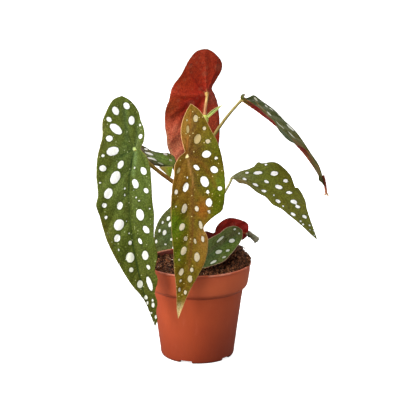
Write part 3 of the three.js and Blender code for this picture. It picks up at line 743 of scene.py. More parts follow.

# the leaves, in mm: spine is in the shared frame, the rest lies across and along the flat leaf
# spine: the midrib's curve, from the joint with the stalk; face: where the upper side looks
# fold: degrees up, left and right; curl and lobeCurl: bend per mm; wave: height, count, start
# margin: the left and the right edge; fan: veins from the joint; sideVeins: where they leave the midrib
# spots: across, along, half width, half length, tilt, shade, where 1 is whiteSpot and 0 creamSpot
# zones: the ground colour, then across, along, radius, strength, colour; some zones paint light, shade and
# sheen
# strokes: a line, its half width, strength, colour, some of them painted shade, light and sheen; rimPlaces:
# across, along, radius, amount

plainLeaf = {
    "step": 1.15, "ragged": 0.3, "puff": 0.9, "puffReach": 4.5, "edgeThick": 0.22, "moreThick": 0.3,
    "edgeReach": 4, "rib": 1.0, "ribSpread": 1.1, "sideRib": 0.25, "sideRibSpread": 0.8, "fan": [],
    "rimBase": 1.0, "rimPlaces": [], "strokes": [], "underStrokes": [],
}
leaves = {
    "leftLeaf": {
        "node": "left_leaf_blade", "slot": "leaf",
        "look": {
            **greenLook, "fleck": (0.8, 0.82, 0.62, 1), "pebbleShow": 0.35, "speckShow": 0.5,
            "speck": srgb(214, 220, 160), "rim": srgb(160, 140, 64), "shine": 0.16,
            "whiteSpot": srgb(254, 254, 250),
        },
        "rimBase": 0.35, "rimPlaces": [(-12, 5, 10, 0.6), (30, -30, 12, 0.3)],
        "spine": [(-60.5, -34, 218), (-68, -50, 168), (-58, -60, 95), (-41.5, -52, 45)],
        "face": [(0.1, -1, 0.35), (-0.15, -1, 0.2)],
        "fold": [(14, 12, 6), (14, 12, 6)], "curl": (-0.004, -0.004), "lobeCurl": -0.003,
        "wave": (1.2, 4, 0.5),
        "margin": (
            [
                (20, -49), (11, -46), (2, -38), (-2, -29), (-7, -19), (-8, -9), (-6, -1), (-12, 5),
                (-17, 15), (-19, 30), (-20, 50), (-21, 65), (-19, 88), (-20, 105), (-15, 120), (-16, 130),
                (-10, 143), (-10, 153), (-6, 163), (-5, 171), (0, 178),
            ],
            [
                (20, -49), (28, -43), (33, -30), (35, -20), (33, -6), (35, 10), (35, 26), (33, 43),
                (35, 53), (32, 63), (28, 82), (22, 100), (16, 117), (10, 132), (4, 144), (1, 156),
                (0, 178),
            ],
        ),
        "midrib": [(0, 0), (1.2, 10), (2.4, 25), (3.2, 45), (3.3, 62), (2.6, 90), (1, 130), (0, 178)],
        "fan": [
            [(0, 0), (9, 5), (16, 11), (23, 20), (31, 38)],
            [(0, 0), (10, -3.5), (18, -4.5), (27, -2), (33, 4)],
            [(0, 0), (5, -8), (9, -15), (13, -28), (17, -44)], [(0, 0), (-1, -9), (-2, -19), (3, -34)],
            [(0, 0), (-5, 1), (-10, 6), (-14, 16)],
        ],
        "sideVeins": [[12, 34, 57, 80, 103, 127], [18, 42, 67, 92, 117]], "veinSlope": 1.5,
        "spots": [
            (24, -33, 3.1, 4.2, -40, 1), (14, -40, 2.9, 3.5, -50, 1), (29, -24, 2.1, 2.8, -61, 1),
            (21, -16, 3.8, 6.9, -59, 1), (7, -27, 3, 4.4, -5, 1), (-2, -24, 1, 1.5, -10, 0.6),
            (-4, -13, 1.9, 2.4, 10, 1), (26, -6, 2.9, 3.3, 75, 1), (21, 5, 3.8, 6.1, 70, 1),
            (30, 10, 1.4, 1.6, 85, 0.9), (12, 16, 2.6, 4.1, 27, 1), (29, 20.5, 2.7, 3.5, -81, 1),
            (-2, 18, 1, 1.1, 0, 0.7), (-11, 20.5, 2.8, 4, -26, 1), (16.5, 28, 4.3, 6.4, 30, 1),
            (31, 33, 1, 1.2, 90, 0.7), (-3.5, 33.4, 2.9, 4.8, -22, 1), (7, 38, 1.1, 1.2, 0, 0.9),
            (7, 44, 1.1, 1.2, 0, 0.9), (-1.7, 39.2, 0.8, 0.8, 0, 0.7), (23, 42.6, 3.8, 5, 28, 1),
            (-14, 40, 2.1, 2.9, -34, 1), (-4, 47, 1.1, 1.1, 0, 0.8), (-7, 50, 1, 1, 0, 0.7),
            (27, 53, 2.1, 2.5, -85, 1), (12, 54, 2.7, 3.7, 18, 1), (-17, 58, 0.9, 1, 0, 0.6),
            (-7.3, 63.7, 3.8, 5.6, -5, 1), (26, 64, 1.6, 1.7, 0, 1), (6.4, 69.2, 0.8, 0.8, 0, 0.7),
            (14, 71.7, 4.6, 5.5, 36, 1), (-12, 78.7, 2.6, 4.2, -29, 1), (25.7, 79.5, 0.7, 0.7, 0, 0.6),
            (17, 84, 2.9, 3.7, 29, 0.9), (5, 81, 0.9, 1, 0, 0.6), (5, 90, 1.7, 2.1, 5, 0.8),
            (-4.8, 89.5, 1.7, 3.2, -19, 1), (17, 95, 1.1, 1.1, 0, 0.6), (12, 106, 0.6, 0.6, 0, 0.5),
            (18.4, 108.4, 0.8, 0.8, 0, 0.5), (7, 104, 4, 4.9, 7, 0.6), (-8, 104, 3.2, 4.6, 6, 0.7),
            (8, 116, 2.2, 2.4, 10, 0.5), (-9, 116, 1.7, 2.6, -21, 0.7), (2.6, 131.7, 2.8, 3.9, 19, 0.5),
            (-7, 132.6, 2.5, 7.5, -4, 1), (0, 146, 1.8, 2.2, 15, 0.6), (-6, 150, 1, 1.4, 18, 0.8),
            (0, 152, 1, 1.8, 15, 0.6), (-5, 155, 1.5, 2.7, 17, 0.8), (-1, 163, 1, 1.2, 30, 0.6),
            (-4, 168, 1, 2.2, 19, 0.8), (-0.6, 173, 0.7, 0.8, 0, 0.5),
        ],
        "zones": [
            (89, 104, 37), (8, 8, 11, 1.8, (109, 130, 71)), (28, 5, 11, 1.6, (107, 116, 53)),
            (10, 42, 12, 1.4, (103, 120, 61)), (10, 62, 10, 1.2, (105, 118, 55)),
            (-10, 6, 8, 2.2, (89, 108, 37)), (-11, 32, 10, 1.6, (91, 110, 41)),
            (-10, 62, 10, 1.2, (83, 102, 37)), (-6, 88, 10, 1.2, (79, 94, 31)),
            (18, -38, 16, 1.0, (105, 118, 53)), (30, -20, 7, 1.0, (95, 104, 39)),
            (30, 26, 8, 0.9, (91, 98, 35)), (27, 62, 10, 1.0, (87, 94, 27)),
            (22, 78, 7, 1.0, (103, 106, 41)), (12, 95, 9, 0.8, (81, 90, 29)),
            (0, 130, 18, 1.2, (89, 90, 31)), (-4, 165, 14, 1.5, (82, 74, 25)),
        ],
        "strokes": [
            # painted shade: the dark lines along the midrib and the veins from the joint darken their
            # creases
            ([(0.3, 4), (1.2, 12), (2.4, 25)], 0.9, 0.8, (22, 48, 16)),
            ([(2.4, 25), (3.2, 50), (3, 80), (1, 130)], 0.9, 0.35, (34, 60, 22)),
            ([(2.5, 1.5), (7, 5), (12, 8.5)], 1.2, 0.6, (34, 64, 22)),
            ([(12, 8.5), (18.5, 15), (24, 24)], 1.6, 0.35, (50, 78, 28)),
            ([(2.3, -0.5), (7, -3), (13, -4.5)], 1.4, 0.4, (52, 84, 34)),
            ([(0, -2), (-1, -12), (1, -24)], 1.6, 0.3, (106, 136, 92)),
            ([(-1.5, 3), (-2, 12), (-1, 24)], 1.8, 0.45, (122, 154, 96)),
            ([(9, -8), (11, -20), (15, -36)], 2.4, 0.35, (92, 124, 82)),
            ([(33, -22), (32, -6), (34, 10)], 1.8, 0.4, (92, 82, 26)),
            ([(29, 66), (25, 86), (18, 108)], 2.2, 0.4, (96, 84, 24)),
        ],
        "underZones": [(128, 36, 28), (0, 0, 16, 1, (150, 60, 40)), (0, 130, 30, 0.6, (110, 44, 26))],
    },
    "backLeaf": {
        "node": "back_leaf_blade", "slot": "leaf_red",
        "look": {
            **greenLook, "underCloud": (0.92, 0.84, 0.84, 1), "underBlotch": (0.84, 0.74, 0.74, 1),
            "underFleck": (0.8, 0.7, 0.7, 1), "underRim": srgb(96, 58, 24),
        },
        "spine": [(9.5, 9, 265.5), (2, 26, 225), (0, 36, 185), (-6, 34, 152)],
        "face": [(-0.1, 0.95, 0.3), (0, 1, 0.1)],
        "fold": [(8, 6), (8, 6)], "curl": (-0.004, -0.004), "lobeCurl": 0, "wave": (1.0, 3, 1),
        "margin": (
            [
                (-8, -49.2), (-13, -48), (-19, -43.5), (-25, -31), (-29, -16), (-35, 1), (-36, 11),
                (-38, 24), (-36, 44), (-34, 51), (-31, 66), (-24, 80), (-15, 94), (-5, 108), (0, 118),
            ],
            [
                (-8, -49.2), (-3.5, -47.8), (1.5, -44.5), (8, -37), (10, -28), (7, -17), (4, -6), (8, 1),
                (13, 12), (17, 28), (20, 50), (19, 75), (14, 95), (7, 110), (0, 118),
            ],
        ),
        "midrib": [(0, 0), (-1, 30), (-1, 70), (0, 118)],
        "fan": [
            [(0, 0), (-7, 3), (-14, 5.5), (-24, 6.5), (-34, 6)],
            [(0, 0), (-4, 3), (-11, 8), (-19, 16.5), (-32, 31)],
            [(0, 0), (-5, 6), (-9, 13), (-16, 24), (-23, 37), (-28, 54)],
            [(0, 0), (-7, -4), (-13, -11), (-20, -20), (-25, -30)],
            [(0, 0), (-3.5, -17), (-6.5, -31), (-10, -45)], [(0, 0), (2, -15), (4, -29), (3, -40)],
            [(0, 0), (4, 3), (9, 10), (14, 22)],
        ],
        "sideVeins": [[28, 52, 76], [14, 38, 62, 85]], "veinSlope": 1.1,
        "spots": [], "scatter": (11, 70),
        "zones": [(84, 112, 44), (0, 8, 16, 1.2, (104, 138, 80)), (0, 70, 24, 0.6, (88, 106, 36))],
        "underZones": [
            (168, 52, 26), (-14, -8, 14, 1.2, (188, 58, 29)), (2, -34, 12, 0.8, (170, 54, 27)),
            (-8, -42, 12, 1.8, (150, 56, 28)), (-24, -8, 8, 1.0, (184, 74, 32)),
            # painted sheen: the pale salmon patches at (-29, 50) and (-27, 68)
            (-29, 50, 9, 4.0, (250, 132, 96)), (-27, 68, 10, 9.0, (254, 158, 118)),
            (-33, 20, 6, 3.0, (214, 100, 54)), (-30, 36, 5, 1.4, (176, 60, 32)),
            # painted light: the bright zones at (12, 22) and (10, 42) lift a part the lamps leave in shade
            (12, 22, 9, 5.0, (206, 92, 66)), (10, 42, 9, 4.0, (200, 88, 54)),
            (4, 0, 5, 2.4, (190, 96, 80)), (-7, 18, 8, 2.0, (162, 36, 20)),
            (-7, 3, 7, 2.0, (170, 32, 20)), (-20, 24, 8, 1.0, (172, 48, 26)),
            (-22, -28, 8, 0.8, (160, 66, 29)),
        ],
        "underStrokes": [
            ([(0, 0), (-3.5, -1.5)], 0.5, 0.8, (230, 176, 112)),
            ([(0, 0), (-1, -5)], 0.5, 0.8, (230, 176, 112)),
            ([(0, 0), (3, -2)], 0.5, 0.8, (230, 176, 112)),
            # painted shade: the dark red lines darken the creases along the veins
            ([(-4, -2), (-12, -9), (-20, -19)], 1.2, 0.5, (140, 26, 16)),
            ([(-4, 2), (-14, 5), (-24, 6)], 1.1, 0.4, (206, 84, 46)),
            ([(-5, 6), (-12, 16), (-20, 30)], 1.4, 0.6, (112, 20, 14)),
            ([(-6, 2), (-16, 12), (-28, 26)], 1.6, 0.5, (120, 26, 18)),
            ([(-1, 0), (0, 30)], 1.4, 0.5, (110, 24, 20)),
            # painted sheen along the left margin
            ([(-34, 48), (-30, 64), (-23, 79)], 1.0, 0.6, (255, 206, 150)),
        ],
    },
    "frontLeaf": {
        "node": "front_leaf_blade", "slot": "leaf_bronze",
        "look": {
            **bronzeLook, "speckShow": 0.65, "speck": srgb(236, 216, 140), "rimShow": 0.9,
            "rimWidth": 0.75,
        },
        "rimBase": 0.25,
        "rimPlaces": [
            (4, -20, 16, 1), (-12, -44, 10, 1), (-22, -26, 9, 0.8), (8, 8, 9, 1), (13, 40, 14, 0.3),
            (-18, 74, 10, 0.6), (0, 130, 20, 0.2),
        ],
        "spine": [(-10, -46, 213.5), (-8, -62, 165), (-10, -67, 105), (-18.5, -62, 56)],
        "face": [(0, -1, 0.25), (0, -1, 0.1)],
        "fold": [(10, 8, 6), (12, 8, 6)], "curl": (-0.003, -0.003), "lobeCurl": -0.003,
        "wave": (1.2, 4, 2),
        "margin": (
            [
                (-6, -51), (-14, -44), (-20, -34), (-25, -23), (-30, -12), (-34, 3), (-36, 20), (-36, 34),
                (-34, 50), (-27, 56), (-21, 61), (-16, 68), (-20, 76), (-21, 87), (-19, 100), (-14, 113),
                (-7, 130), (-3, 145), (0, 160),
            ],
            [
                (-6, -51), (-1, -44), (4, -31), (5, -20), (3, -9), (2, -4), (7, 0), (12, 8), (13, 19),
                (15, 30), (16, 48), (15, 70), (12, 93), (10, 110), (6, 131), (3, 150), (0, 160),
            ],
        ),
        "midrib": [
            (0, 0), (-1.5, 8), (-3.5, 18), (-5.2, 28), (-5.5, 52), (-5.5, 76), (-3.5, 110), (0, 160),
        ],
        "fan": [
            [(0, 0), (-2.7, -15.6), (-5.7, -30), (-7, -46)], [(0, 0), (-10, 0), (-20, 3), (-31, 12)],
            [(0, 0), (-10, 3), (-18, 11), (-24, 18.5), (-32, 34)],
            [(-5.2, 27), (-9.6, 34.6), (-14.4, 43.5), (-20, 55)],
            [(0, 0), (4, 5), (7, 11), (10, 22), (13, 38)], [(0, 0), (-5, -8), (-12, -19), (-20, -30)],
        ],
        "sideVeins": [[52, 76, 100, 122], [24, 50, 76, 102, 126]], "veinSlope": 1.3,
        "spots": [
            (-10, -36, 2.3, 3.4, 0, 0.1), (-2, -26, 1.4, 3.9, 0, 0), (-1.5, -35, 0.8, 1, 0, 0.1),
            (-18, -26, 1.7, 1.9, -15, 0.2), (-11, -16, 3.2, 4.9, 21, 0), (-21, -13, 2.1, 2.4, -80, 0.2),
            (-19, -1, 3.3, 4.3, 83, 1), (-28, 3, 1.4, 1.8, -75, 0.8), (-9, 11, 2, 3.4, -49, 1),
            (-26, 13.5, 3.1, 3.8, -55, 1), (8.5, 13.6, 1.4, 3, 25, 0), (0, 20.5, 1, 1.1, 0, 0.8),
            (-16.6, 24.5, 3.7, 5.3, -27, 1), (-10.8, 28.5, 0.8, 0.8, 0, 0.5),
            (1.7, 29.6, 2.5, 4.6, 19, 1), (11, 34, 1.7, 2.4, 0, 0.5), (-31, 31, 2.1, 2.2, 90, 1),
            (-19.5, 34, 1.6, 2, -31, 0.9), (-15, 37, 0.7, 0.7, 0, 0.5), (-9, 42, 0.8, 0.8, 0, 0.6),
            (-20.7, 44, 3.1, 4.1, -5, 1), (3, 50, 2.5, 4.6, 14, 0.3), (-9, 50, 1.9, 2.8, -16, 0.4),
            (11, 48, 1, 1, 0, 0.5), (-20.8, 52.6, 1.5, 1.9, -56, 0.5), (-13, 65, 1.7, 4.2, -17, 0.3),
            (4.8, 67.7, 2.5, 3.7, 23, 0.3), (1, 79, 1.9, 2.3, -5, 0.2), (-8.2, 81, 1.3, 2.6, -16, 0.2),
            (-15.7, 78.4, 1.5, 3.1, -12, 0.4), (2.2, 91, 2.6, 4.3, 18, 0.2), (-11, 96, 2.7, 4.5, -3, 0.2),
            (6, 100, 1, 1.2, 0, 0.2), (3, 112, 2.2, 3.7, 13, 0.2), (-7, 109, 1.6, 2.4, 0, 0.3),
            (-6, 118, 2.3, 3.4, -4, 0.2), (2.9, 120.8, 1, 1.6, 30, 0.3), (3, 130, 1.1, 2, -7, 0.4),
            (-3, 132, 1.4, 2.3, -6, 0.3),
        ],
        "zones": [
            (104, 92, 16), (-20, 24, 12, 1.8, (92, 92, 8)), (-33, 30, 8, 4.0, (88, 120, 4)),
            (-28, -8, 10, 2.0, (88, 102, 8)), (-20, -30, 9, 1.4, (104, 88, 12)),
            # painted light: the tan zones at (1, -30) and (2.5, -14) light the strip beside the keel; (-8,
            # -22) is painted shade on its other side
            (-8, -45, 8, 1.6, (136, 100, 30)), (1, -30, 6, 3.6, (170, 128, 60)),
            (2.5, -14, 4, 4.0, (172, 128, 66)), (-8, -22, 5, 2.0, (104, 78, 18)),
            (3, 8, 9, 1.8, (140, 102, 40)), (9, 26, 9, 1.4, (138, 98, 36)), (-9, 26, 5, 1.6, (74, 70, 2)),
            (-8, 0, 7, 2.0, (80, 54, 10)), (-18, 8, 8, 1.0, (96, 76, 14)),
            (-15, 49, 5, 3.2, (162, 100, 36)), (-28, 50, 6, 3.0, (86, 116, 4)),
            (12, 66, 8, 4.0, (76, 116, 6)), (9, 94, 7, 3.0, (82, 110, 8)),
            (-18, 78, 6, 3.0, (164, 124, 66)), (-16, 94, 6, 2.4, (152, 118, 50)),
            (6, 118, 9, 1.4, (124, 102, 28)), (2, 140, 9, 1.4, (128, 112, 34)),
            (0, 45, 8, 0.9, (116, 82, 29)), (-8, 118, 8, 1.0, (108, 98, 28)),
            (0, 156, 5, 14.0, (240, 230, 184)),
        ],
        "strokes": [
            # painted light and shade on the upper lobe's fold: a lit tan strip beside the keel, then a dark
            # brown shaded band
            ([(0, -2), (-1.2, -15.6), (-4, -30), (-5.2, -44)], 1.2, 0.6, (172, 114, 56)),
            ([(-2.5, -3), (-5, -15), (-8, -30), (-9, -42)], 2.6, 0.6, (84, 56, 14)),
            ([(-1, 0), (-8, -4), (-15, -9)], 0.9, 0.6, (76, 50, 14)),
            ([(-1, 1), (-8, 1), (-14, 3)], 0.8, 0.6, (76, 50, 14)),
            ([(-4, 2), (-12.5, 5.5), (-18, 12), (-23, 20), (-27, 30)], 1.6, 0.5, (128, 94, 34)),
            ([(-0.7, 3), (-2.7, 12), (-4.6, 21), (-5.3, 29)], 0.9, 0.75, (172, 132, 78)),
            ([(-3, 3), (-5, 12), (-7, 21), (-8, 29)], 1.6, 0.5, (84, 60, 14)),
            ([(-5.3, 29), (-5.5, 76), (-4, 110)], 1.2, 0.75, (96, 64, 28)),
            ([(-3, 30), (-3.4, 76), (-2, 100)], 1.2, 0.35, (150, 110, 60)),
            ([(-5.3, 29), (-9.6, 34.6), (-14, 42), (-19, 52)], 1.2, 0.4, (146, 108, 50)),
        ],
        "underZones": [(128, 36, 28), (0, 0, 16, 1, (150, 60, 40)), (0, 130, 30, 0.6, (110, 44, 26))],
    },
    "midLeaf": {
        "node": "mid_leaf_blade", "slot": "leaf", "look": oliveLook,
        "spine": [(34, -4, 183), (62, -16, 188), (100, -22, 162), (118.5, -24, 124)],
        "face": [(-0.3, -0.62, 0.75), (0.5, -0.6, 0.6)],
        "fold": [(6, 4), (10, 4)], "curl": (-0.004, 0), "lobeCurl": 0, "wave": (0.8, 4, 0),
        "margin": (
            [
                (0, -2), (-6, 5), (-11, 13), (-16, 18), (-22, 19.5), (-22, 24), (-28, 32), (-29, 40),
                (-26, 49), (-18, 59), (-20, 62), (-17, 73), (-10, 82), (-4, 96), (0, 111),
            ],
            [
                (0, -2), (3, 4), (7, 10), (7, 18), (12, 32), (12, 42), (15, 52), (13, 62), (12, 73),
                (9, 88), (5, 101), (0, 111),
            ],
        ),
        "midrib": [(0, 0), (1.4, 26), (-1.5, 51), (-1.5, 78), (0, 111)],
        "fan": [[(0, 0), (-5, 6), (-10, 15), (-18, 24)], [(0, 0), (3, 8), (7, 18), (10, 32)]],
        "sideVeins": [[6, 20, 36, 52, 68, 84], [16, 32, 48, 64, 80]], "veinSlope": 0.9,
        "spots": [
            (-10, 23.5, 1.8, 4.3, -31, 1), (-7, 14, 1.1, 1.9, -17, 1), (-21.5, 27, 1, 1.5, -67, 0.9),
            (-17, 37, 2.4, 3.9, -53, 1), (0.4, 13.4, 1.2, 2.3, 15, 1), (-17, 49, 1.9, 2.7, -51, 1),
            (-4.7, 34.4, 1.5, 2.6, -15, 1), (3.6, 26.3, 1.7, 3.1, 5, 1), (-6.6, 47, 2.1, 4, -22, 1),
            (6.4, 36.8, 1.6, 2.6, -23, 1), (-8.7, 58, 1.6, 3.3, -47, 1), (4.6, 47.7, 0.9, 1.2, -47, 1),
            (7.6, 54.5, 2, 2.8, -12, 1), (-4.5, 67, 2.1, 3.6, -36, 1), (-3.8, 73, 1.6, 2.8, -43, 1),
            (8.7, 61.8, 1, 1.2, -50, 1), (7.4, 74.6, 1.7, 2.8, -26, 1), (-2.3, 84.7, 1.6, 2.8, -36, 1),
            (6, 85, 1.1, 1.6, -79, 1), (6, 89, 1, 1.7, -66, 0.9), (-1, 94.5, 0.9, 1.2, -58, 0.9),
            (2, 98, 0.6, 0.9, -50, 0.8), (-1.4, 101, 0.5, 0.8, -50, 0.8), (0.8, 105, 0.5, 0.9, -50, 0.8),
        ],
        "zones": [
            (114, 116, 39), (0, 2, 9, 3.0, (144, 147, 124)), (6, 10, 5, 2.5, (158, 123, 97)),
            (9, 30, 5, 2.0, (118, 121, 79)), (-6, 16, 6, 1.0, (120, 131, 64)),
            (-8, 26, 12, 0.9, (112, 132, 43)), (-20, 50, 12, 0.8, (103, 105, 28)),
            (0, 108, 7, 1.5, (116, 122, 44)),
        ],
        "underZones": [(134, 40, 30), (0, 0, 14, 1, (150, 80, 50))],
    },
    "highLeaf": {
        "node": "high_leaf_blade", "slot": "leaf",
        "look": {
            **darkLook, "rim": srgb(104, 96, 44), "underRim": srgb(150, 70, 54),
            "underBlotch": (0.84, 0.78, 0.76, 1), "underFleck": (0.8, 0.74, 0.72, 1),
            "creamSpot": srgb(176, 168, 136), "whiteSpot": srgb(226, 228, 214),
        },
        "step": 1.0,
        "spine": [(44, -2, 261), (70, -4, 244), (112, -8, 214), (128.6, -10, 168.5)],
        "face": [(0.35, -0.1, 1), (0.9, -0.1, 0.6)],
        "fold": [(12, 11, 9, 10, 9, 7, 11, 8), (28, 27, 18, 5, 4, 32, 24, -7, 0)],
        "curl": (0, 0), "lobeCurl": 0.34, "wave": (0.5, 4, 0),
        "margin": (
            [
                (0, -9), (-6, -8), (-8, -4), (-7, 2), (-14, 5), (-24, 9), (-25, 20), (-25, 35), (-23, 50),
                (-21, 65), (-18, 85), (-15, 100), (-9, 109), (-3, 115), (-1.5, 120), (0, 122),
            ],
            [
                (0, -9), (6, -8), (8, -3), (10, 8), (11.5, 22), (17, 36), (24, 50), (21, 60), (10.5, 67),
                (9.5, 80), (9.5, 94), (14, 99), (13.5, 108), (6, 114), (2, 120), (0, 122),
            ],
        ),
        "fan": [[(0, 0), (3, -5), (4, -8)], [(0, 0), (-10, 6), (-20, 14)], [(0, 0), (8, 6), (14, 16)]],
        "sideVeins": [[8, 24, 40, 56, 72, 88], [12, 28, 44, 60, 76, 92]], "veinSlope": 0.9,
        "spots": [
            (-19, 11.5, 2, 2.6, 0, 0.4), (-20.5, 24, 1.2, 2, 0, 0.7), (-21.5, 29.5, 1, 2.8, 0, 0.7),
            (-10, 30, 1.5, 3.2, 4, 0.7), (-23, 39.5, 0.8, 2.4, 0, 0.7), (-5.2, 45, 0.8, 6.5, 8, 0.6),
            (-18.7, 55, 1.8, 5, 0, 1), (-7.2, 60, 1.1, 5.2, -8, 0.7), (-21, 68, 1, 2.4, 0, 0.7),
            (-19, 78, 1.4, 3.4, 0, 0.1), (-17, 89.5, 1.2, 3.4, 0, 0.5),
        ],
        "zones": [
            (81, 85, 41), (-14, 20, 14, 0.9, (84, 92, 43)), (-4, 45, 10, 1.2, (134, 133, 83)),
            (14, 48, 8, 1.6, (71, 95, 53)), (16, 58, 6, 2.0, (57, 79, 33)),
            (-10, 75, 12, 1.2, (138, 126, 79)), (-4, 100, 12, 1.4, (120, 112, 69)),
            (0, -6, 6, 2, (71, 79, 30)), (-2, 4, 6, 1.5, (91, 89, 41)), (-10, 2, 6, 2.0, (74, 75, 33)),
        ],
        "strokes": [
            ([(-14, 13), (-9, 22), (-7, 30)], 1.0, 0.7, (186, 140, 84)),
            ([(0, 8), (0, 30)], 1.1, 0.6, (150, 84, 54)),
            ([(0, 64), (-6, 74), (-8, 84)], 2.0, 0.7, (158, 104, 78)),
            ([(-4, 94), (-5, 110)], 0.9, 0.7, (176, 160, 104)),
        ],
        "underZones": [
            (116, 18, 18), (6, 12, 8, 1.2, (142, 22, 26)), (9, 26, 6, 1.5, (168, 66, 54)),
            (10, 85, 10, 1, (104, 26, 16)), (8, 96, 6, 20, (88, 92, 48)), (7, 105, 7, 40, (84, 92, 46)),
            (0, 118, 4, 6, (122, 40, 26)), (0, -8, 6, 60, (84, 110, 40)),
        ],
        "underStrokes": [
            ([(5, 97), (3, 110)], 0.8, 0.8, (176, 166, 110)),
            ([(2, 68), (2, 90)], 1.3, 0.6, (150, 84, 66)),
        ],
    },
    "lowFrontLeaf": {
        "node": "low_front_leaf_blade", "slot": "leaf",
        "look": {**darkLook, "rim": srgb(170, 140, 115), "rimWidth": 0.9, "rimShow": 0.9},
        "step": 0.9,
        "spine": [(5, -24, 105), (16, -26, 114), (31, -22, 125), (44, -14, 132)],
        "face": [(-0.3, -0.75, 0.55), (0.2, -0.75, 0.6)],
        "fold": [(5,), (5,)], "curl": (0, 0), "lobeCurl": 0, "wave": (0.4, 3, 0),
        "margin": (
            [(0, -8), (-8, -5), (-12, 4), (-13, 17), (-11, 29), (-11, 39), (-7, 47), (0, 50)],
            [(0, -8), (8, -4), (12.5, 5), (16, 16), (14, 25), (11, 35), (7, 44), (0, 50)],
        ),
        "fan": [[(0, 0), (-5, 3), (-11, 11)], [(0, 0), (6, 3), (12, 10)]],
        "sideVeins": [[8, 19, 30], [8, 19, 30]], "veinSlope": 0.8,
        "spots": [
            (-5.5, 26.5, 1.2, 4.8, -4, 0.6), (2.7, 34.5, 2.1, 2.9, 25, 1), (-5, 44, 1.1, 1.3, 0, 0.8),
            (1, 45, 0.9, 1, 0, 0.9), (4.1, 17.5, 2.2, 3.4, 25, 0.7), (8.6, 25.2, 1.2, 2.2, 20, 0.9),
            (12.3, 18.6, 0.9, 2, 20, 0.8), (9.8, 8, 1.4, 3.2, 8, 0.8),
        ],
        "zones": [
            (96, 108, 60), (-7, 30, 8, 1.0, (112, 125, 73)), (8, 30, 8, 1.2, (114, 142, 57)),
            (4, 8, 8, 1.0, (77, 96, 65)), (12, 18, 6, 1, (133, 140, 77)), (-2, 42, 6, 1, (123, 106, 85)),
        ],
        "strokes": [
            ([(-2, 2), (-3, 20), (-1, 42)], 1.9, 0.55, (92, 86, 66)),
            ([(1, 6), (0, 22), (2, 40)], 1.3, 0.5, (40, 72, 46)),
            ([(-1, 24), (-7, 36)], 1.2, 0.4, (110, 104, 80)),
        ],
        "underZones": [(118, 26, 24)],
    },
    "lowRedLeaf": {
        "node": "low_red_leaf_blade", "slot": "leaf_red",
        "look": {**darkLook, "underRim": srgb(88, 38, 28)}, "step": 0.9,
        "spine": [(15, 6, 116), (25, 10, 127), (47, 10, 130), (61, 3, 116)],
        "face": [
            (-0.1, 0.9, 0.5), (0.2, 0.95, 0.3), (0.3, 0.95, 0.3), (0.4, 0.9, 0.2), (0.4, 0.9, 0.2),
            (0.5, -0.5, 0.8), (0.5, -0.5, 0.8),
        ],
        "fold": [(5,), (5,)], "curl": (0, 0), "lobeCurl": 0, "wave": (0.4, 3, 0),
        "margin": (
            [(0, -6), (-8, -3), (-11, 6), (-12, 18), (-11, 30), (-8, 38), (-4, 42), (0, 43)],
            [
                (0, -6), (8, -5), (14, 1), (8, 4), (5, 6.5), (10, 11), (14.5, 20), (13, 29), (11, 36),
                (6, 42), (0, 43),
            ],
        ),
        "fan": [[(0, 0), (-5, 3), (-11, 11)], [(0, 0), (5, -1), (12, -2)]],
        "sideVeins": [[8, 19, 30], [12, 22, 32]], "veinSlope": 0.8,
        "spots": [], "scatter": (5, 9),
        "zones": [(62, 78, 54)],
        "underZones": [
            (170, 42, 28), (6, 20, 10, 0.8, (190, 54, 34)), (10, 2, 6, 2, (84, 44, 22)),
            (4, 40, 8, 1.5, (150, 16, 26)),
        ],
    },
    "behindLeaf": {
        "node": "behind_leaf_blade", "slot": "leaf",
        "look": {**darkLook, "rim": srgb(44, 40, 26), "rimWidth": 1.2, "whiteSpot": srgb(240, 242, 234)},
        "step": 0.9,
        "spine": [(-26, 6, 198), (-40, 4, 201), (-62, 0, 212), (-84, -4, 208)],
        "face": [(0.2, -0.3, 1), (-0.3, -0.3, 1)],
        "fold": [(-6, -4), (8, 10)], "curl": (0, 0), "lobeCurl": 0, "wave": (0.6, 3, 0),
        "margin": (
            [(0, -5), (-9, -3), (-13, 6), (-15, 18), (-15, 32), (-12, 46), (-6, 56), (0, 61)],
            [(0, -5), (9, -3), (12, 4), (10, 9), (9, 20), (13, 28), (15, 36), (12, 46), (6, 56), (0, 61)],
        ),
        "fan": [[(0, 0), (-6, 3), (-12, 11)], [(0, 0), (5, 0), (10, 2)]],
        "sideVeins": [[10, 22, 34], [10, 22, 34]], "veinSlope": 0.8,
        "spots": [
            (9, 26, 1.4, 2, 0, 1), (3, 23, 1.8, 4.6, 10, 1), (-5, 20, 1.7, 5.2, 5, 1),
            (9, 6, 2, 2.4, 0, 1), (-9, 11, 1.3, 3.4, 10, 0.2), (1.4, 0.5, 1.2, 1.6, 0, 0.8),
            (4, 40, 2, 4, 0, 1), (-6, 38, 2, 4, 0, 1), (-8, 52, 1.2, 2, 0, 1),
        ],
        "zones": [
            (116, 100, 71), (0, 9, 7, 4.0, (148, 187, 89)), (0, 26, 9, 1.6, (113, 96, 81)),
            (-12, 14, 6, 1.6, (68, 63, 44)), (9, 14, 4, 1.5, (74, 91, 50)),
        ],
        "strokes": [
            ([(-11, 2), (-13, 14), (-13, 28)], 1.6, 0.7, (34, 36, 20)),
            ([(10, 8), (9, 18), (12, 28)], 1.4, 0.7, (40, 48, 26)),
            ([(2, 3), (-2, 14), (0, 28)], 0.8, 0.5, (150, 190, 110)),
        ],
        "underZones": [(118, 26, 24)],
    },
    "lowLeaf": {
        "node": "low_leaf_blade", "slot": "leaf", "look": {**darkLook, "whiteSpot": srgb(240, 244, 238)},
        "step": 0.9,
        "spine": [(-17, 60, 130), (-25, 62, 120), (-33, 64, 94), (-34, 62, 66)],
        "face": [(-0.2, -1, 0.6), (-0.2, -1, 0.1)],
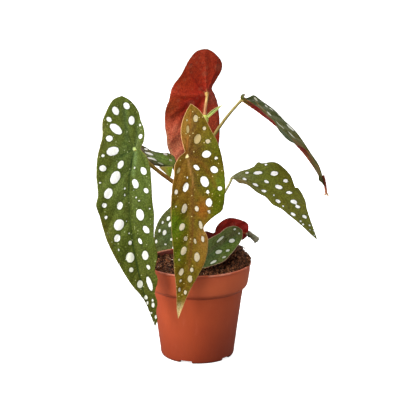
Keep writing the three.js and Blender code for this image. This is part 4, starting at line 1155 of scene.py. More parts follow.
        "fold": [(5,), (5,)], "curl": (0, 0), "lobeCurl": 0, "wave": (0.6, 3, 0),
        "margin": (
            [(3, -12), (-1, -8), (-2, -1), (-9, 6), (-14, 18), (-12.5, 33), (-9, 50), (-5, 62), (0, 70)],
            [(3, -12), (11, -10), (14, 2), (17, 13), (18, 23), (16, 36), (12, 46), (7, 60), (0, 70)],
        ),
        "fan": [[(0, 0), (-4, 5), (-9, 13)], [(0, 0), (7, 3), (13, 10)]],
        "sideVeins": [[10, 23, 36, 48], [10, 23, 36, 48]], "veinSlope": 0.8,
        "spots": [
            (9, 11.3, 1.7, 2.6, 0, 1), (13, 17, 1.2, 1.5, 0, 0.9), (4.8, 15.5, 1.8, 3, 0, 1),
            (13, 25.5, 1.1, 1.8, 0, 1), (7.5, 25.5, 1.9, 3, 0, 1), (-1.5, 30, 1.4, 1.7, 0, 0.7),
            (13.5, 36.5, 1.2, 2, 0, 0.9), (3.4, 37, 1.7, 0.9, 0, 0.8), (-4, 18, 1.6, 2.4, 0, 1),
            (-6, 38, 1.6, 2.2, 0, 1), (4, 52, 1.4, 2, 0, 1),
        ],
        "zones": [(101, 109, 66), (6, 12, 9, 0.8, (115, 118, 69)), (4, 28, 7, 0.8, (76, 101, 71))],
        "strokes": [([(6, -9), (11, -7), (13, 0)], 2.2, 0.7, (78, 64, 46))],
        "underZones": [(112, 28, 26)],
    },
}


def scatterSpots(leaf, seed, count):  # for a side that only shows from behind
    random.seed(seed)
    left, right = leaf["margin"]
    start, end = left[0][1], left[-1][1]
    spots = []
    tries = 0
    while len(spots) < count and tries < 4000:
        tries += 1
        v = random.uniform(start + 5, end - 5)
        low, high = marginAt(left, v), marginAt(right, v)
        u = random.uniform(low + 2.5, high - 2.5)
        size = random.choice([0.9, 1.1, 1.6, 2.2, 3.0, 3.8]) * min((high - low) / 38, 1.1)
        room = min(u - low, high - u)
        crowded = any(math.hypot(u - spot[0], v - spot[1]) < size + spot[3] + 2.4 for spot in spots)
        if abs(u) < size + 1.5 or room < size + 1 or crowded:
            continue
        spots.append((u, v, size, size * random.uniform(1.1, 1.5), 25 * (1 if u > 0 else -1), 1))
    return spots


def makeLeaves(leaves):
    for name, leaf in leaves.items():
        leaf = {**plainLeaf, **leaf}
        if "scatter" in leaf:
            leaf["spots"] = scatterSpots(leaf, *leaf["scatter"])
        look = leaf["look"]
        makeBlade(name, leaf, [upperMaterial(name + "Upper", look), underMaterial(name + "Under", look)])


makeLeaves(leaves)
print("leaves ready")

# canes and stalks


def bezierPoints(points, count):
    t = np.linspace(0, 1, count)[:, None]
    a, b, c, d = np.array(points, float)
    return (1 - t) ** 3 * a + 3 * (1 - t) ** 2 * t * b + 3 * (1 - t) * t * t * c + t ** 3 * d


def makeTube(name, line, radiusAt, sides, material, wobble):
    line = [Vector(p) for p in line]
    run = np.concatenate([[0], np.cumsum([(b - a).length for a, b in zip(line, line[1:])])])
    run /= run[-1]
    last = len(line) - 1
    tangents = [(line[min(i + 1, last)] - line[max(i - 1, 0)]).normalized() for i in range(len(line))]
    side = tangents[0].orthogonal().normalized()
    points, faces, runs = [], [], []
    for i, (centre, tangent) in enumerate(zip(line, tangents)):
        side = (side - tangent * side.dot(tangent)).normalized()
        other = tangent.cross(side)
        for k in range(sides):
            angle = 2 * math.pi * k / sides
            place = Vector((math.cos(angle) * 1.5, math.sin(angle) * 1.5, run[i] * 14))
            radius = radiusAt(run[i]) * (1 + wobble * noise.noise(place))
            out = side * radius * math.cos(angle) + other * radius * math.sin(angle)
            points.append((centre + out) * mm)
            runs.append(run[i])
    for i in range(last):
        for k in range(sides):
            a, b = i * sides + k, i * sides + (k + 1) % sides
            faces.append((a, b, b + sides, a + sides))
    faces.append(tuple(range(sides))[::-1])
    faces.append(tuple(range(last * sides, (last + 1) * sides)))
    tube = addMesh(name, points, faces, [material])
    tube.data.attributes.new("run", "FLOAT", "POINT").data.foreach_set("value", runs)
    tube.data.update()
    return tube


def stemMaterial(name, look):
    material, tree, shader = newMaterial(name, Specular_IOR_Level=0.4)
    place = addNode(tree, "TexCoord").outputs["Object"]
    streaks = useGroup(tree, stemStreaks, Place=place)
    run = attribute(tree, "run")
    colour = mixColours(tree, fade(tree, run, look["turn"], look["turn"] + 0.5), look["foot"], look["top"])
    colour = tinted(tree, fade(tree, streaks["Streak"], 0.35, 0.7), colour, look["streak"])
    mottled = times(tree, fade(tree, streaks["Mottle"], 0.45, 0.7), 0.6)
    colour = mixColours(tree, mottled, colour, look["mottle"])
    colour = mixColours(tree, times(tree, streaks["Dash"], look["dashShow"]), colour, look["dash"])
    feed(tree, shader.inputs["Base Color"], colour)
    feed(tree, shader.inputs["Roughness"], spread(tree, streaks["Mottle"], 0.4, 0.62))
    normal = bump(tree, streaks["Streak"], 0.0003, 0.5)
    normal = bump(tree, streaks["Dash"], 0.0003, 0.5, normal)
    feed(tree, shader.inputs["Normal"], normal)
    return material


plainStem = {"dashShow": 0.25, "turn": 0.2}  # turn: where along the stem the foot's colour gives way
caneLook = {
    "foot": srgb(176, 134, 74), "top": srgb(206, 218, 104), "streak": (0.7, 0.72, 0.6, 1),
    "mottle": srgb(156, 104, 54), "dash": srgb(214, 204, 156), "dashShow": 0.7, "turn": 0.3,
}
stalkLooks = {
    "brown": {
        **plainStem, "foot": srgb(166, 118, 46), "top": srgb(158, 136, 50),
        "streak": (0.66, 0.62, 0.5, 1), "mottle": srgb(126, 108, 36), "dash": srgb(214, 178, 100),
    },
    "cream": {
        **plainStem, "foot": srgb(190, 128, 88), "top": srgb(198, 166, 98), "streak": (0.7, 0.6, 0.46, 1),
        "mottle": srgb(178, 118, 66), "dash": srgb(232, 208, 150), "dashShow": 0.3,
    },
    "tan": {
        **plainStem, "foot": srgb(150, 128, 58), "top": srgb(160, 146, 84),
        "streak": (0.66, 0.62, 0.42, 1), "mottle": srgb(156, 134, 58), "dash": srgb(226, 206, 150),
    },
    "green": {
        **plainStem, "foot": srgb(202, 200, 110), "top": srgb(216, 214, 146),
        "streak": (0.72, 0.73, 0.6, 1), "mottle": srgb(142, 138, 68), "dash": srgb(220, 212, 160),
        "dashShow": 0.2,
    },
}
caneShape = {
    "foot": 3.3, "top": 2.7, "swell": 0.75, "waist": 0.2,  # mm
    "swellReach": 0.017, "waistAbove": 0.03, "waistReach": 0.012, "endReach": 0.015,  # shares of its length
    "rounding": 0.35,
}
stalkShape = {
    "taper": 0.25, "footFlare": 0.22, "topFlare": 0.16,  # shares of the foot's radius
    "footReach": 0.06, "topReach": 0.04,  # shares of its length
}
canes = {  # node, where the rings are, curve
    "mainCane": (
        "main_cane", [0.45, 0.64, 0.82, 0.97],
        [(-1, 2, 56), (2, 2, 120), (6, 0, 190), (7.5, 0, 246.3)],
    ),
    "leftCane": (
        "left_cane", [0.45, 0.97],
        [(-12, -6, 56), (-13, -8, 110), (-17, -11, 150), (-20, -12.8, 178.8)],
    ),
}
stalks = {  # node, radius at the foot, look, curve
    "leftLeafStalk": (
        "left_leaf_stalk", 2.2, "brown",
        [(-20.9, -13.2, 179.5), (-33, -16, 187), (-56, -21, 208), (-60.6, -33.2, 217.8)],
    ),
    "backLeafStalk": (
        "back_leaf_stalk", 1.7, "cream",
        [(7.6, 0, 245.8), (7.4, -0.6, 252), (9.8, -0.5, 262), (9.6, 8.5, 265.3)],
    ),
    "frontLeafStalk": (
        "front_leaf_stalk", 1.8, "brown",
        [(4.3, -2.4, 177.5), (3, -20, 186), (-9.5, -34, 209), (-10, -45.4, 213.3)],
    ),
    "midLeafStalk": (
        "mid_leaf_stalk", 1.5, "green",
        [(6.4, -0.1, 141.5), (17, -1, 152), (29, -2, 168), (33.8, -3.6, 181.9)],
    ),
    "highLeafStalk": (
        "high_leaf_stalk", 1.8, "tan",
        [(9.6, -0.1, 211), (14, 0, 224), (31, -1, 248), (43.7, -2, 260.7)],
    ),
    "lowFrontLeafStalk": (
        "low_front_leaf_stalk", 1.3, "brown",
        [(6, -12, 66), (5, -12, 88), (9, -16, 100), (5.3, -23.5, 104.7)],
    ),
    "lowRedLeafStalk": (
        "low_red_leaf_stalk", 1.4, "brown",
        [(12, 4, 66), (11, 3, 95), (18, 1, 110), (15.6, 5.1, 115.8)],
    ),
    "behindLeafStalk": (
        "behind_leaf_stalk", 1.4, "brown",
        [(-18.6, -10.2, 172.4), (-17, 2, 180), (-23, 8, 188), (-26.1, 6.2, 197)],
    ),
    "lowLeafStalk": (
        "low_leaf_stalk", 1.5, "brown",
        [(-13, -6.6, 112), (-6, 30, 124), (-4, 64, 128), (-16.4, 60.8, 130.2)],
    ),
}


def caneRadius(rings):  # a swollen ring at each node, narrower just above it
    def radiusAt(t):
        radius = caneShape["foot"] + (caneShape["top"] - caneShape["foot"]) * t
        for ring in rings:
            above = t - ring
            radius += caneShape["swell"] * math.exp(-(above / caneShape["swellReach"]) ** 2)
            above -= caneShape["waistAbove"]
            radius -= caneShape["waist"] * math.exp(-(above / caneShape["waistReach"]) ** 2)
        end = caneShape["endReach"]
        return radius * (1 - caneShape["rounding"] * (max(t - 1 + end, 0) / end) ** 2)
    return radiusAt


def stalkRadius(foot):  # thicker at both joints
    def radiusAt(t):
        flare = stalkShape["footFlare"] * math.exp(-(t / stalkShape["footReach"]) ** 2)
        flare += stalkShape["topFlare"] * math.exp(-((1 - t) / stalkShape["topReach"]) ** 2)
        return foot * (1 - stalkShape["taper"] * t + flare)
    return radiusAt


def tipRadius(foot, growth):  # a blunt, rounded end
    def radiusAt(t):
        end = math.sqrt(max(1 - max((t - 0.86) / 0.14, 0) ** 2, 0.02))
        return foot * (1 + (growth - 1) * t) * end
    return radiusAt


caneMaterial = stemMaterial("caneSkin", caneLook)
for name, (node, rings, points) in canes.items():
    cane = makeTube(name, bezierPoints(points, 150), caneRadius(rings), 32, caneMaterial, 0.06)
    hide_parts(node)
tipLooks = {
    "rolled": {
        **plainStem, "foot": srgb(136, 124, 94), "top": srgb(130, 134, 102),
        "streak": (0.4, 0.46, 0.38, 1), "mottle": srgb(176, 158, 138), "dash": srgb(56, 64, 48),
        "dashShow": 0.7,
    },
    "dried": {
        **plainStem, "foot": srgb(132, 62, 38), "top": srgb(190, 118, 80), "streak": (0.6, 0.5, 0.45, 1),
        "mottle": srgb(150, 52, 34), "dash": srgb(210, 160, 120), "dashShow": 0.2, "turn": 0.45,
    },
    "frayed": {
        **plainStem, "foot": srgb(196, 150, 112), "top": srgb(222, 190, 150),
        "streak": (0.75, 0.65, 0.55, 1), "mottle": srgb(176, 120, 84), "dash": srgb(235, 215, 190),
        "dashShow": 0.5,
    },
}
leafTips = {  # rolled and dried leaf ends: radius, growth to the end, look, curve
    "lowRedRoll": (
        2.3, 1.55, "rolled",
        [(50, 6.6, 124.8), (53, 5.8, 122.4), (57, 5, 119.4), (60.8, 4, 115.8)],
    ),
    "highLeafDriedTip": (
        1.35, 0.9, "dried",
        [(123.6, -9.6, 186.6), (125.8, -9.9, 181), (126.3, -10, 174), (127.2, -10, 167.8)],
    ),
    "highLeafFrayA": (
        0.9, 0.9, "frayed",
        [(127.2, -10, 169.6), (126.8, -10.2, 168.6), (126, -10.4, 167.4), (125.2, -10.6, 166.8)],
    ),
    "highLeafFrayB": (
        1.0, 0.8, "frayed",
        [(127.2, -10, 169.6), (127.8, -9.9, 168), (128.8, -9.7, 166.6), (129.6, -9.5, 166.1)],
    ),
}
tipMaterials = {name: stemMaterial(name + "Tip", look) for name, look in tipLooks.items()}
for name, (foot, growth, look, points) in leafTips.items():
    tip = makeTube(name, bezierPoints(points, 32), tipRadius(foot, growth), 18, tipMaterials[look], 0.3)
stalkMaterials = {name: stemMaterial(name + "Stalk", look) for name, look in stalkLooks.items()}
for name, (node, foot, look, points) in stalks.items():
    stalk = makeTube(name, bezierPoints(points, 48), stalkRadius(foot), 20, stalkMaterials[look], 0.08)
    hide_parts(node)
print("stems ready")

# stipules

paleLook = {
    **greenLook, "vein": srgb(120, 150, 60), "midrib": srgb(180, 200, 110), "rim": srgb(200, 186, 120),
    "pebble": srgb(150, 180, 80), "blotch": (0.85, 0.9, 0.75, 1), "fleck": (0.86, 0.88, 0.74, 1),
    "veinShow": 0.3, "underBlotch": (0.8, 0.85, 0.7, 1), "underVein": srgb(150, 170, 90),
}
stipules = {
    "topStipule": {
        "node": "top_stipule", "slot": "stipule", "look": paleLook, "step": 0.5, "puff": 0.0, "rib": 0.5,
        "ragged": 0.05,
        "spine": [(10, -2.1, 243.6), (14, -3.6, 248), (19, -4, 252), (25.5, -4, 256.7)],
        "face": [(-0.4, -0.8, 0.4), (-0.4, -0.8, 0.4)], "fold": [(20,), (20,)], "curl": (0, 0),
        "lobeCurl": 0, "wave": (0, 1, 0),
        "margin": (
            [(0, 0), (-1.8, 1), (-2.2, 6), (-1.8, 12), (-0.9, 16), (0, 19.6)],
            [(0, 0), (1.8, 1), (2.2, 6), (1.8, 12), (0.9, 16), (0, 19.6)],
        ),
        "sideVeins": [[2], [2]], "veinSlope": 3.5,
        "spots": [],
        "zones": [
            (84, 112, 22), (0, 1, 2.5, 2, (158, 160, 72)), (0, 18, 4, 4, (72, 84, 54)),
            (1.5, 8, 2, 0.8, (108, 132, 52)),
        ],
        "underZones": [(140, 160, 80)],
    },
    "leftStipule": {
        "node": "left_stipule", "slot": "stipule", "look": paleLook, "step": 0.5, "puff": 0.0, "rib": 0.2,
        "ragged": 0.1,
        "spine": [(-27, -12.9, 185), (-28.5, -13.1, 189), (-30, -13.4, 193), (-31.6, -13.9, 197)],
        "face": [(0, -1, 0.3), (0, -1, 0.3)], "fold": [(12,), (12,)], "curl": (0, 0), "lobeCurl": 0,
        "wave": (0, 1, 0),
        "margin": (
            [(0, 0), (-1, 2), (-2.5, 6), (-4.5, 10.5), (-6.5, 15.2)],
            [(0, 0), (1.6, 1), (3.6, 4), (5.6, 7.5), (6.6, 9.7), (0, 12.5), (-6.5, 15.2)],
        ),
        "sideVeins": [[2], [2]], "veinSlope": 3.5,
        "spots": [],
        "zones": [(226, 220, 98), (4, 6, 3, 3.5, (160, 214, 44)), (-4, 11, 3, 1.6, (230, 180, 104))],
        "strokes": [([(6.6, 10.4), (0, 12.8), (-6.5, 15)], 0.7, 0.8, (234, 214, 160))],
        "underZones": [(150, 140, 80)],
    },
}
makeLeaves(stipules)
print("stipules ready")

# the pot

potLook = {
    "colour": srgb(177, 77, 44), "dark": srgb(169, 71, 42), "dust": srgb(198, 100, 72),
    # a tint, and the heights in mm where it comes in
    # painted light: the collar tint makes the collar paler
    "collar": (1.28, 1.56, 1.8, 1), "collarLightFade": (66, 78),
    # painted shade: the foot tint darkens the pot towards its base
    "foot": (0.56, 0.48, 0.44, 1), "footShadeFade": (66, -12),
    # painted highlight along the top of the lip, in patches
    "lip": srgb(226, 158, 132), "lipHighlightFade": (94.6, 95.4),
    # painted shade: a dark line in the crease under the collar
    "creaseShade": srgb(120, 52, 38), "creaseShadeHeight": 70.2, "bottomDarker": srgb(120, 56, 38),
    # painted shade on the inner wall below the rim
    "inside": (0.34, 0.25, 0.26, 1),
    "sides": 160, "notches": 5, "firstNotch": -109, "notchWidth": 13, "drainRadius": 3.5, "drainCircle": 25,
}
potProfile = [  # up the outside, over the lip and down the inside: radius, height
    (0, 0), (9.6, 0), (10.1, 0.3), (10.8, 3), (30.8, 3), (31.3, 2.6), (31.8, 0.3), (32.2, 0), (34.4, 0),
    (35.2, 0.25),
    (36.1, 0.95), (36.7, 1.9), (37.05, 3.2), (37.8, 9.9), (39, 18.4), (40.3, 29), (41.8, 39.7),
    (43.2, 50.3), (44.2, 57.7),
    (45.2, 64), (45.95, 69.2), (46.05, 70.1), (46.5, 70.7), (47.8, 71.5), (49.1, 72.6), (50.1, 73.8),
    (50.7, 75.4), (51.5, 79.6),
    (52.7, 87.6), (53.1, 93.6), (53.15, 94.1), (53.5, 94.6), (53.85, 94.8), (54, 95.2), (54, 95.9),
    (53.8, 96.35), (53.4, 96.5),
    (52.5, 96.5), (52.05, 96.3), (51.8, 95.8), (51.5, 87), (49.4, 74.8), (48.4, 73), (46.6, 71.6),
    (45.3, 70.2), (44.9, 68),
    (43, 57.7), (40.5, 39.7), (37.7, 18.4), (35.6, 6.6), (34.8, 5), (33.4, 4.35), (0, 4.3),
]


def ringPoints(radius, height, sides):
    turns = [2 * math.pi * k / sides for k in range(sides)]
    return [(radius * mm * math.cos(turn), radius * mm * math.sin(turn), height * mm) for turn in turns]


def spin(name, profile, sides):
    points, faces, starts = [], [], []
    for radius, height in profile:
        starts.append(len(points))
        if radius == 0:
            points.append((0, 0, height * mm))
        else:
            points += ringPoints(radius, height, sides)
    for i in range(len(profile) - 1):
        for k in range(sides):
            n = (k + 1) % sides
            a, b = starts[i], starts[i + 1]
            if profile[i][0] == 0:
                faces.append((a, b + n, b + k))
            elif profile[i + 1][0] == 0:
                faces.append((a + k, a + n, b))
            else:
                faces.append((a + k, a + n, b + n, b + k))
    mesh = bpy.data.meshes.new(name)
    mesh.from_pydata(points, [], faces)
    piece = bpy.data.objects.new(name, mesh)
    bpy.context.collection.objects.link(piece)
    return piece


def cutWith(piece, cutters):
    for cutter in cutters:
        modifier = piece.modifiers.new("cut", "BOOLEAN")
        modifier.operation = "DIFFERENCE"
        modifier.solver = "EXACT"
        modifier.object = cutter
    result = piece.evaluated_get(bpy.context.evaluated_depsgraph_get())
    shaped = bpy.data.meshes.new_from_object(result)
    piece.modifiers.clear()
    piece.data = shaped
    for cutter in cutters:
        bpy.data.objects.remove(cutter)


def potMaterial(look):
    material, tree, shader = newMaterial("potPlastic", Specular_IOR_Level=0.3)
    place = addNode(tree, "TexCoord").outputs["Object"]
    parts = addNode(tree, "SeparateXYZ")
    feed(tree, parts.inputs[0], place)
    height = parts.outputs[2]
    blotch = clouds(tree, place, 22, 4.0)
    fine = clouds(tree, place, 900, 2.0)
    rub = clouds(tree, place, 160, 4.0, 0.65, (1, 1, 0.25))

    def heightFade(low, high):  # mm
        return fade(tree, height, low * mm, high * mm)

    def nearHeight(middle, inner, outer):  # 1 within inner mm of middle, 0 from outer mm away
        away = maths(tree, "ABSOLUTE", maths(tree, "SUBTRACT", height, middle * mm))
        return fade(tree, away, outer * mm, inner * mm)

    colour = mixColours(tree, fade(tree, blotch, 0.35, 0.7), look["colour"], look["dark"])
    colour = mixColours(tree, times(tree, fade(tree, rub, 0.55, 0.8), 0.22), colour, look["dust"])
    # painted light: the collar made paler from 66 mm up
    colour = tinted(tree, heightFade(*look["collarLightFade"]), colour, look["collar"])
    # painted shade, darker from 66 mm down towards the base
    colour = tinted(tree, heightFade(*look["footShadeFade"]), colour, look["foot"])
    fromAxis = addNode(tree, "VectorMath", operation="LENGTH")
    feed(tree, fromAxis.inputs[0], mixColours(tree, 1.0, place, (1, 1, 0, 1), "MULTIPLY"))
    # the collar leans out
    wall = maths(tree, "SUBTRACT", fromAxis.outputs["Value"], times(tree, height, 0.13))
    # painted shade: the inner wall below the rim made darker
    inside = times(tree, fade(tree, wall, 40.9 * mm, 40.3 * mm), nearHeight(87, 8.5, 9.2))
    colour = tinted(tree, inside, colour, look["inside"])
    # painted shade in the crease where the collar meets the wall
    creaseShade = nearHeight(look["creaseShadeHeight"], 0.2, 1.1)
    colour = mixColours(tree, times(tree, creaseShade, 0.35), colour, look["creaseShade"])
    # darker over the lowest 4 mm
    bottomDarker = inverse(tree, heightFade(0, 4))
    colour = mixColours(tree, times(tree, bottomDarker, 0.35), colour, look["bottomDarker"])
    # painted highlight: pale patches along the top of the lip, weaker on the inside
    lip = times(tree, heightFade(*look["lipHighlightFade"]), fade(tree, clouds(tree, place, 60, 3.0), 0.42, 0.6))
    lipHighlightShow = maths(tree, "SUBTRACT", 0.55, times(tree, inside, 0.5))
    colour = mixColours(tree, times(tree, lip, lipHighlightShow), colour, look["lip"])
    feed(tree, shader.inputs["Base Color"], colour)
    feed(tree, shader.inputs["Roughness"], spread(tree, rub, 0.34, 0.56))
    normal = bump(tree, blotch, 0.0006, 0.25)
    normal = bump(tree, fine, 0.00006, 0.5, normal)
    feed(tree, shader.inputs["Normal"], normal)
    return material


def makePot(look):
    pot = spin("potShell", potProfile, look["sides"])
    cutters = []
    for i in range(look["notches"]):
        angle = look["firstNotch"] + 360 * i / look["notches"]
        turn = Matrix.Rotation(math.radians(angle), 4, "Z")
        half = look["notchWidth"] / 2
        block = bpy.data.meshes.new("notch")
        square = ((28.6, -half), (40.6, -half), (40.6, half), (28.6, half))
        corners = [turn @ (Vector((x, y, z)) * mm) for z in (-3, 3) for x, y in square]
        walls = [(k, (k + 1) % 4, (k + 1) % 4 + 4, k + 4) for k in range(4)]
        block.from_pydata(corners, [], [(3, 2, 1, 0), (4, 5, 6, 7)] + walls)
        notch = bpy.data.objects.new("notch", block)
        drain = spin("drain", [(0, 1), (look["drainRadius"], 1), (look["drainRadius"], 8), (0, 8)], 32)
        drain.data.transform(turn @ Matrix.Translation((look["drainCircle"] * mm, 0, 0)))
        bpy.context.collection.objects.link(notch)
        cutters += [notch, drain]
    cutWith(pot, cutters)
    pot.data.polygons.foreach_set("use_smooth", [True] * len(pot.data.polygons))
    pot.data.set_sharp_from_angle(angle=math.radians(38))
    pot.data.materials.clear()
    pot.data.materials.append(potMaterial(look))
    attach(pot, "root")
    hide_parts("pot")


makePot(potLook)
print("pot ready")

# soil

soilLook = {
    "edge": 92.5, "mound": 14.5, "heading": 20, "lump": 0.8, "radius": 51.5,  # mm, heading in degrees
    "moundFrom": 6, "moundReach": 34, "brinkFrom": 46, "brinkReach": 6.5, "brinkDrop": 0.6,
    "dark": srgb(36, 18, 6), "brown": srgb(118, 68, 40), "fibre": srgb(180, 124, 86),
    # the gaps between crumbs get painted shade
    "damp": srgb(44, 22, 10), "gapShade": srgb(24, 11, 4), "rings": 92, "sides": 260,
    "clumps": 420, "brinkClumps": 130,
}
fibreLook = {
    "dark": srgb(84, 50, 34), "pale": srgb(176, 128, 96), "grain": srgb(60, 36, 26),
    "count": 170, "length": (2.5, 8), "thick": (0.15, 0.45), "standingThick": 0.5,
    "standing": [  # place, direction, length: those that stand up at the right
        ((46.4, 20, 106.2), (0.4, 0, 1), 5),
        ((47.2, 19.6, 105.2), (-0.5, 0.1, 1), 4),
        ((51.6, 2, 103.8), (1, 0, 0.35), 6.5),
        ((50.2, 1, 101.5), (0.8, 0.1, 1), 5),
    ],
}
perliteLook = {"pale": srgb(225, 218, 204), "dull": srgb(180, 165, 146), "size": (0.6, 1.1), "scattered": 7}


def ease(t):
    t = min(max(t, 0), 1)
    return t * t * (3 - 2 * t)


def soilHeight(x, y):
    heading = math.radians(soilLook["heading"])
    towards = x * math.cos(heading) + y * math.sin(heading)
    drop = ease((math.hypot(x, y) - soilLook["brinkFrom"]) / soilLook["brinkReach"])
    rise = ease((towards - soilLook["moundFrom"]) / soilLook["moundReach"])
    heap = soilLook["mound"] * rise * (1 - soilLook["brinkDrop"] * drop)
    lumps = math.sin(0.45 * x + 1) * math.cos(0.38 * y) + 0.6 * math.sin(0.9 * x - 0.7 * y + 2)
    return soilLook["edge"] + heap + soilLook["lump"] * lumps


def crumbled(x, y):
    rough = 0.9 * noise.noise(Vector((x * 0.22, y * 0.22, 1)))
    rough += 1.3 * noise.noise(Vector((x * 0.5, y * 0.5, 4)))
    rough += 0.9 * abs(noise.noise(Vector((x * 0.9, y * 0.9, 9))))
    return soilHeight(x, y) - 0.6 + rough


def soilMaterial(name, light):
    material, tree, shader = newMaterial(name, Specular_IOR_Level=0.2)
    place = addNode(tree, "TexCoord").outputs["Object"]
    crumbs = cells(tree, place, 480)
    dust = clouds(tree, place, 420, 5.0, 0.7)
    patch = clouds(tree, place, 150, 3.0)
    strands = clouds(tree, place, 900, 4.0, 0.7, (1, 0.3, 1))
    brown = fade(tree, dust, 0.44 - light, 0.62 - light)
    colour = mixColours(tree, brown, soilLook["dark"], soilLook["brown"])
    fibres = times(tree, fade(tree, strands, 0.56 - light, 0.68 - light), 0.8)
    colour = mixColours(tree, fibres, colour, soilLook["fibre"])
    damp = times(tree, fade(tree, patch, 0.5, 0.62), 0.5)
    colour = mixColours(tree, damp, colour, soilLook["damp"])
    # painted shade in the gaps between crumbs
    gapShadeAmount = times(tree, fade(tree, crumbs, 0.45, 0.75), 0.8)
    colour = mixColours(tree, gapShadeAmount, colour, soilLook["gapShade"])
    feed(tree, shader.inputs["Base Color"], colour)
    feed(tree, shader.inputs["Roughness"], spread(tree, dust, 0.8, 1.0))
    normal = bump(tree, dust, 0.0014, 0.8)
    normal = bump(tree, crumbs, 0.0008, 0.7, normal)
    feed(tree, shader.inputs["Normal"], normal)
    return material


def addSoilPiece(name, points, faces, material, smooth=False):
    piece = addMesh(name, points, faces, [material], smooth)
    return piece


def makeSoil(material):
    rings, sides, radius = soilLook["rings"], soilLook["sides"], soilLook["radius"]
    points = [(0, 0, crumbled(0, 0) * mm)]
    for i in range(1, rings + 1):
        for k in range(sides):
            angle = 2 * math.pi * k / sides
            x, y = radius * i / rings * math.cos(angle), radius * i / rings * math.sin(angle)
            points.append((x * mm, y * mm, crumbled(x, y) * mm))
    for depth, narrow in ((87, 51.2), (74.5, 49), (70.3, 45), (40, 40.3), (6, 35)):
        points += ringPoints(narrow, depth, sides)
    last = len(points)
    points.append((0, 0, 5 * mm))
    faces = []
    for k in range(sides):
        n = (k + 1) % sides
        faces.append((0, 1 + k, 1 + n))
        for i in range(rings + 4):
            a = 1 + i * sides
            faces.append((a + k, a + sides + k, a + sides + n, a + n))
        faces.append((last, last - sides + n, last - sides + k))
    soil = addSoilPiece("soilBed", points, faces, material, True)
    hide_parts("soil")


def blob(centre, size, seed):  # an uneven lump of a few faces
    points, faces = [], []
    rings, sides = 5, 8
    for i in range(rings + 1):
        polar = math.pi * i / rings
        for k in range(sides if 0 < i < rings else 1):
            angle = 2 * math.pi * k / sides
            wide = math.sin(polar)
            way = Vector((wide * math.cos(angle), wide * math.sin(angle), math.cos(polar) * 0.8))
            reach = size * (1 + 0.45 * noise.noise(way * 1.7 + Vector((seed, seed * 2, 0))))
            points.append((centre + way * reach) * mm)

    def at(i, k):  # the poles are one point each
        if i in (0, rings):
            return 0 if i == 0 else len(points) - 1
        return 1 + (i - 1) * sides + k % sides

    for i in range(rings):
        for k in range(sides):
            ring = [at(i, k), at(i + 1, k), at(i + 1, k + 1), at(i, k + 1)]
            faces.append([corner for n, corner in enumerate(ring) if corner != ring[n - 1]])
    return points, faces


def addBlobs(name, places, material):  # places are (x, y, z, size)
    points, faces = [], []
    for n, (x, y, z, size) in enumerate(places):
        more, shell = blob(Vector((x, y, z)), size, n)
        faces += [[k + len(points) for k in face] for face in shell]
        points += more
    addSoilPiece(name, points, faces, material)


def makeClumps(dark, light):
    random.seed(4)
    darkPlaces, lightPlaces = [], []
    for n in range(soilLook["clumps"]):
        angle, radius = random.uniform(0, 2 * math.pi), 50 * math.sqrt(random.random())
        if n % 3 == 0:
            angle = math.radians(random.uniform(-75, 75))
            radius = random.uniform(26, 50)
        x, y = radius * math.cos(angle), radius * math.sin(angle)
        size = random.choice([0.6, 0.8, 1.1, 1.5, 2.0])
        (lightPlaces if n % 2 else darkPlaces).append((x, y, soilHeight(x, y) + size * 0.2, size))
    for n in range(soilLook["brinkClumps"]):  # crumbs that hide the lip at the right
        angle, radius = math.radians(random.uniform(-24, 48)), random.uniform(49.5, 53)
        size = random.choice([0.7, 1.1, 1.6, 2.1])
        x, y = math.cos(angle), math.sin(angle)
        z = max(soilHeight(50 * x, 50 * y) - 1.5 * (radius - 49.5), 96.8 + 0.3 * size)
        (lightPlaces if n % 3 == 0 else darkPlaces).append((radius * x, radius * y, z, size))
    # the pale fibrous lump beside the front leaf
    for n in range(9):
        x, y = 9 + random.uniform(-3.5, 3.5), -16 + random.uniform(-4, 4)
        z = soilHeight(9, -16) + random.uniform(0.4, 2.6)
        lightPlaces.append((x, y, z, random.uniform(0.9, 1.8)))
    addBlobs("soilClumps", darkPlaces, dark)
    addBlobs("soilClumpsPale", lightPlaces, light)


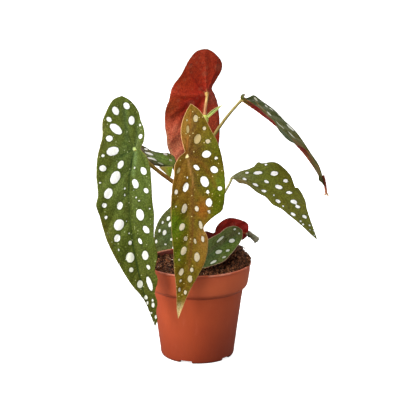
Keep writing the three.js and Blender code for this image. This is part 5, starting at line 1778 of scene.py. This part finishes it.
def makeTwigs():
    material, tree, shader = newMaterial("barkFibre", Specular_IOR_Level=0.3)
    place = addNode(tree, "TexCoord").outputs["Object"]
    grain = clouds(tree, place, 900, 3.0, 0.6)
    tone = clouds(tree, place, 130, 2.0)
    colour = mixColours(tree, fade(tree, tone, 0.35, 0.65), fibreLook["dark"], fibreLook["pale"])
    colour = mixColours(tree, times(tree, grain, 0.5), colour, fibreLook["grain"])
    feed(tree, shader.inputs["Base Color"], colour)
    feed(tree, shader.inputs["Roughness"], spread(tree, grain, 0.75, 0.95))
    feed(tree, shader.inputs["Normal"], bump(tree, grain, 0.0003, 0.6))
    random.seed(9)
    points, faces = [], []
    standing = fibreLook["standing"]
    for n in range(fibreLook["count"]):
        angle, radius = random.uniform(0, 2 * math.pi), 48 * math.sqrt(random.random())
        if n % 3 == 0:
            angle, radius = math.radians(random.uniform(-25, 60)), random.uniform(38, 49)
        centre = Vector((radius * math.cos(angle), radius * math.sin(angle), 0))
        centre.z = soilHeight(centre.x, centre.y) + random.uniform(0.0, 0.8)
        way = Vector((random.uniform(-1, 1), random.uniform(-1, 1), random.uniform(-0.1, 0.35)))
        way.normalize()
        length, thick = random.uniform(*fibreLook["length"]), random.uniform(*fibreLook["thick"])
        if n < len(standing):
            at, towards, length = standing[n]
            centre, way, thick = Vector(at), Vector(towards).normalized(), fibreLook["standingThick"]
        sag = Vector((random.uniform(-1, 1), random.uniform(-1, 1), random.uniform(0, 0.6)))
        bend = sag * length * 0.15
        start = len(points)
        side = way.orthogonal().normalized()
        other = way.cross(side)
        for i in range(6):
            s = i / 5
            middle = centre + way * length * (s - 0.5) + bend * (1 - (2 * s - 1) ** 2)
            for k in range(5):
                turn = 2 * math.pi * k / 5
                width = thick * (1 - 0.5 * s) * (1 + 0.3 * noise.noise(Vector((n, i, k))))
                points.append((middle + (side * math.cos(turn) + other * math.sin(turn)) * width) * mm)
        for i in range(5):
            for k in range(5):
                a, b = start + i * 5 + k, start + i * 5 + (k + 1) % 5
                faces.append((a, b, b + 5, a + 5))
        faces.append(tuple(range(start, start + 5))[::-1])
        faces.append(tuple(range(start + 25, start + 30)))
    addSoilPiece("barkFibres", points, faces, material)


def makePerlite():
    material, tree, shader = newMaterial("perliteGrain", Specular_IOR_Level=0.3)
    place = addNode(tree, "TexCoord").outputs["Object"]
    grain = clouds(tree, place, 900, 3.0)
    colour = mixColours(tree, grain, perliteLook["pale"], perliteLook["dull"])
    feed(tree, shader.inputs["Base Color"], colour)
    feed(tree, shader.inputs["Roughness"], spread(tree, grain, 0.8, 1.0))
    feed(tree, shader.inputs["Normal"], bump(tree, grain, 0.0003, 0.7))
    random.seed(21)
    spots = [(44.5, 20)]
    for n in range(perliteLook["scattered"]):
        spots.append((random.uniform(-38, 38), random.uniform(-38, 38)))
    places = [(x, y, soilHeight(x, y) + 0.7, random.uniform(*perliteLook["size"])) for x, y in spots]
    addBlobs("perlite", places, material)


makeSoil(soilMaterial("soilCrumb", 0.02))
makeClumps(soilMaterial("soilBrown", 0.06), soilMaterial("soilPale", 0.1))
makeTwigs()
makePerlite()
print("soil ready")
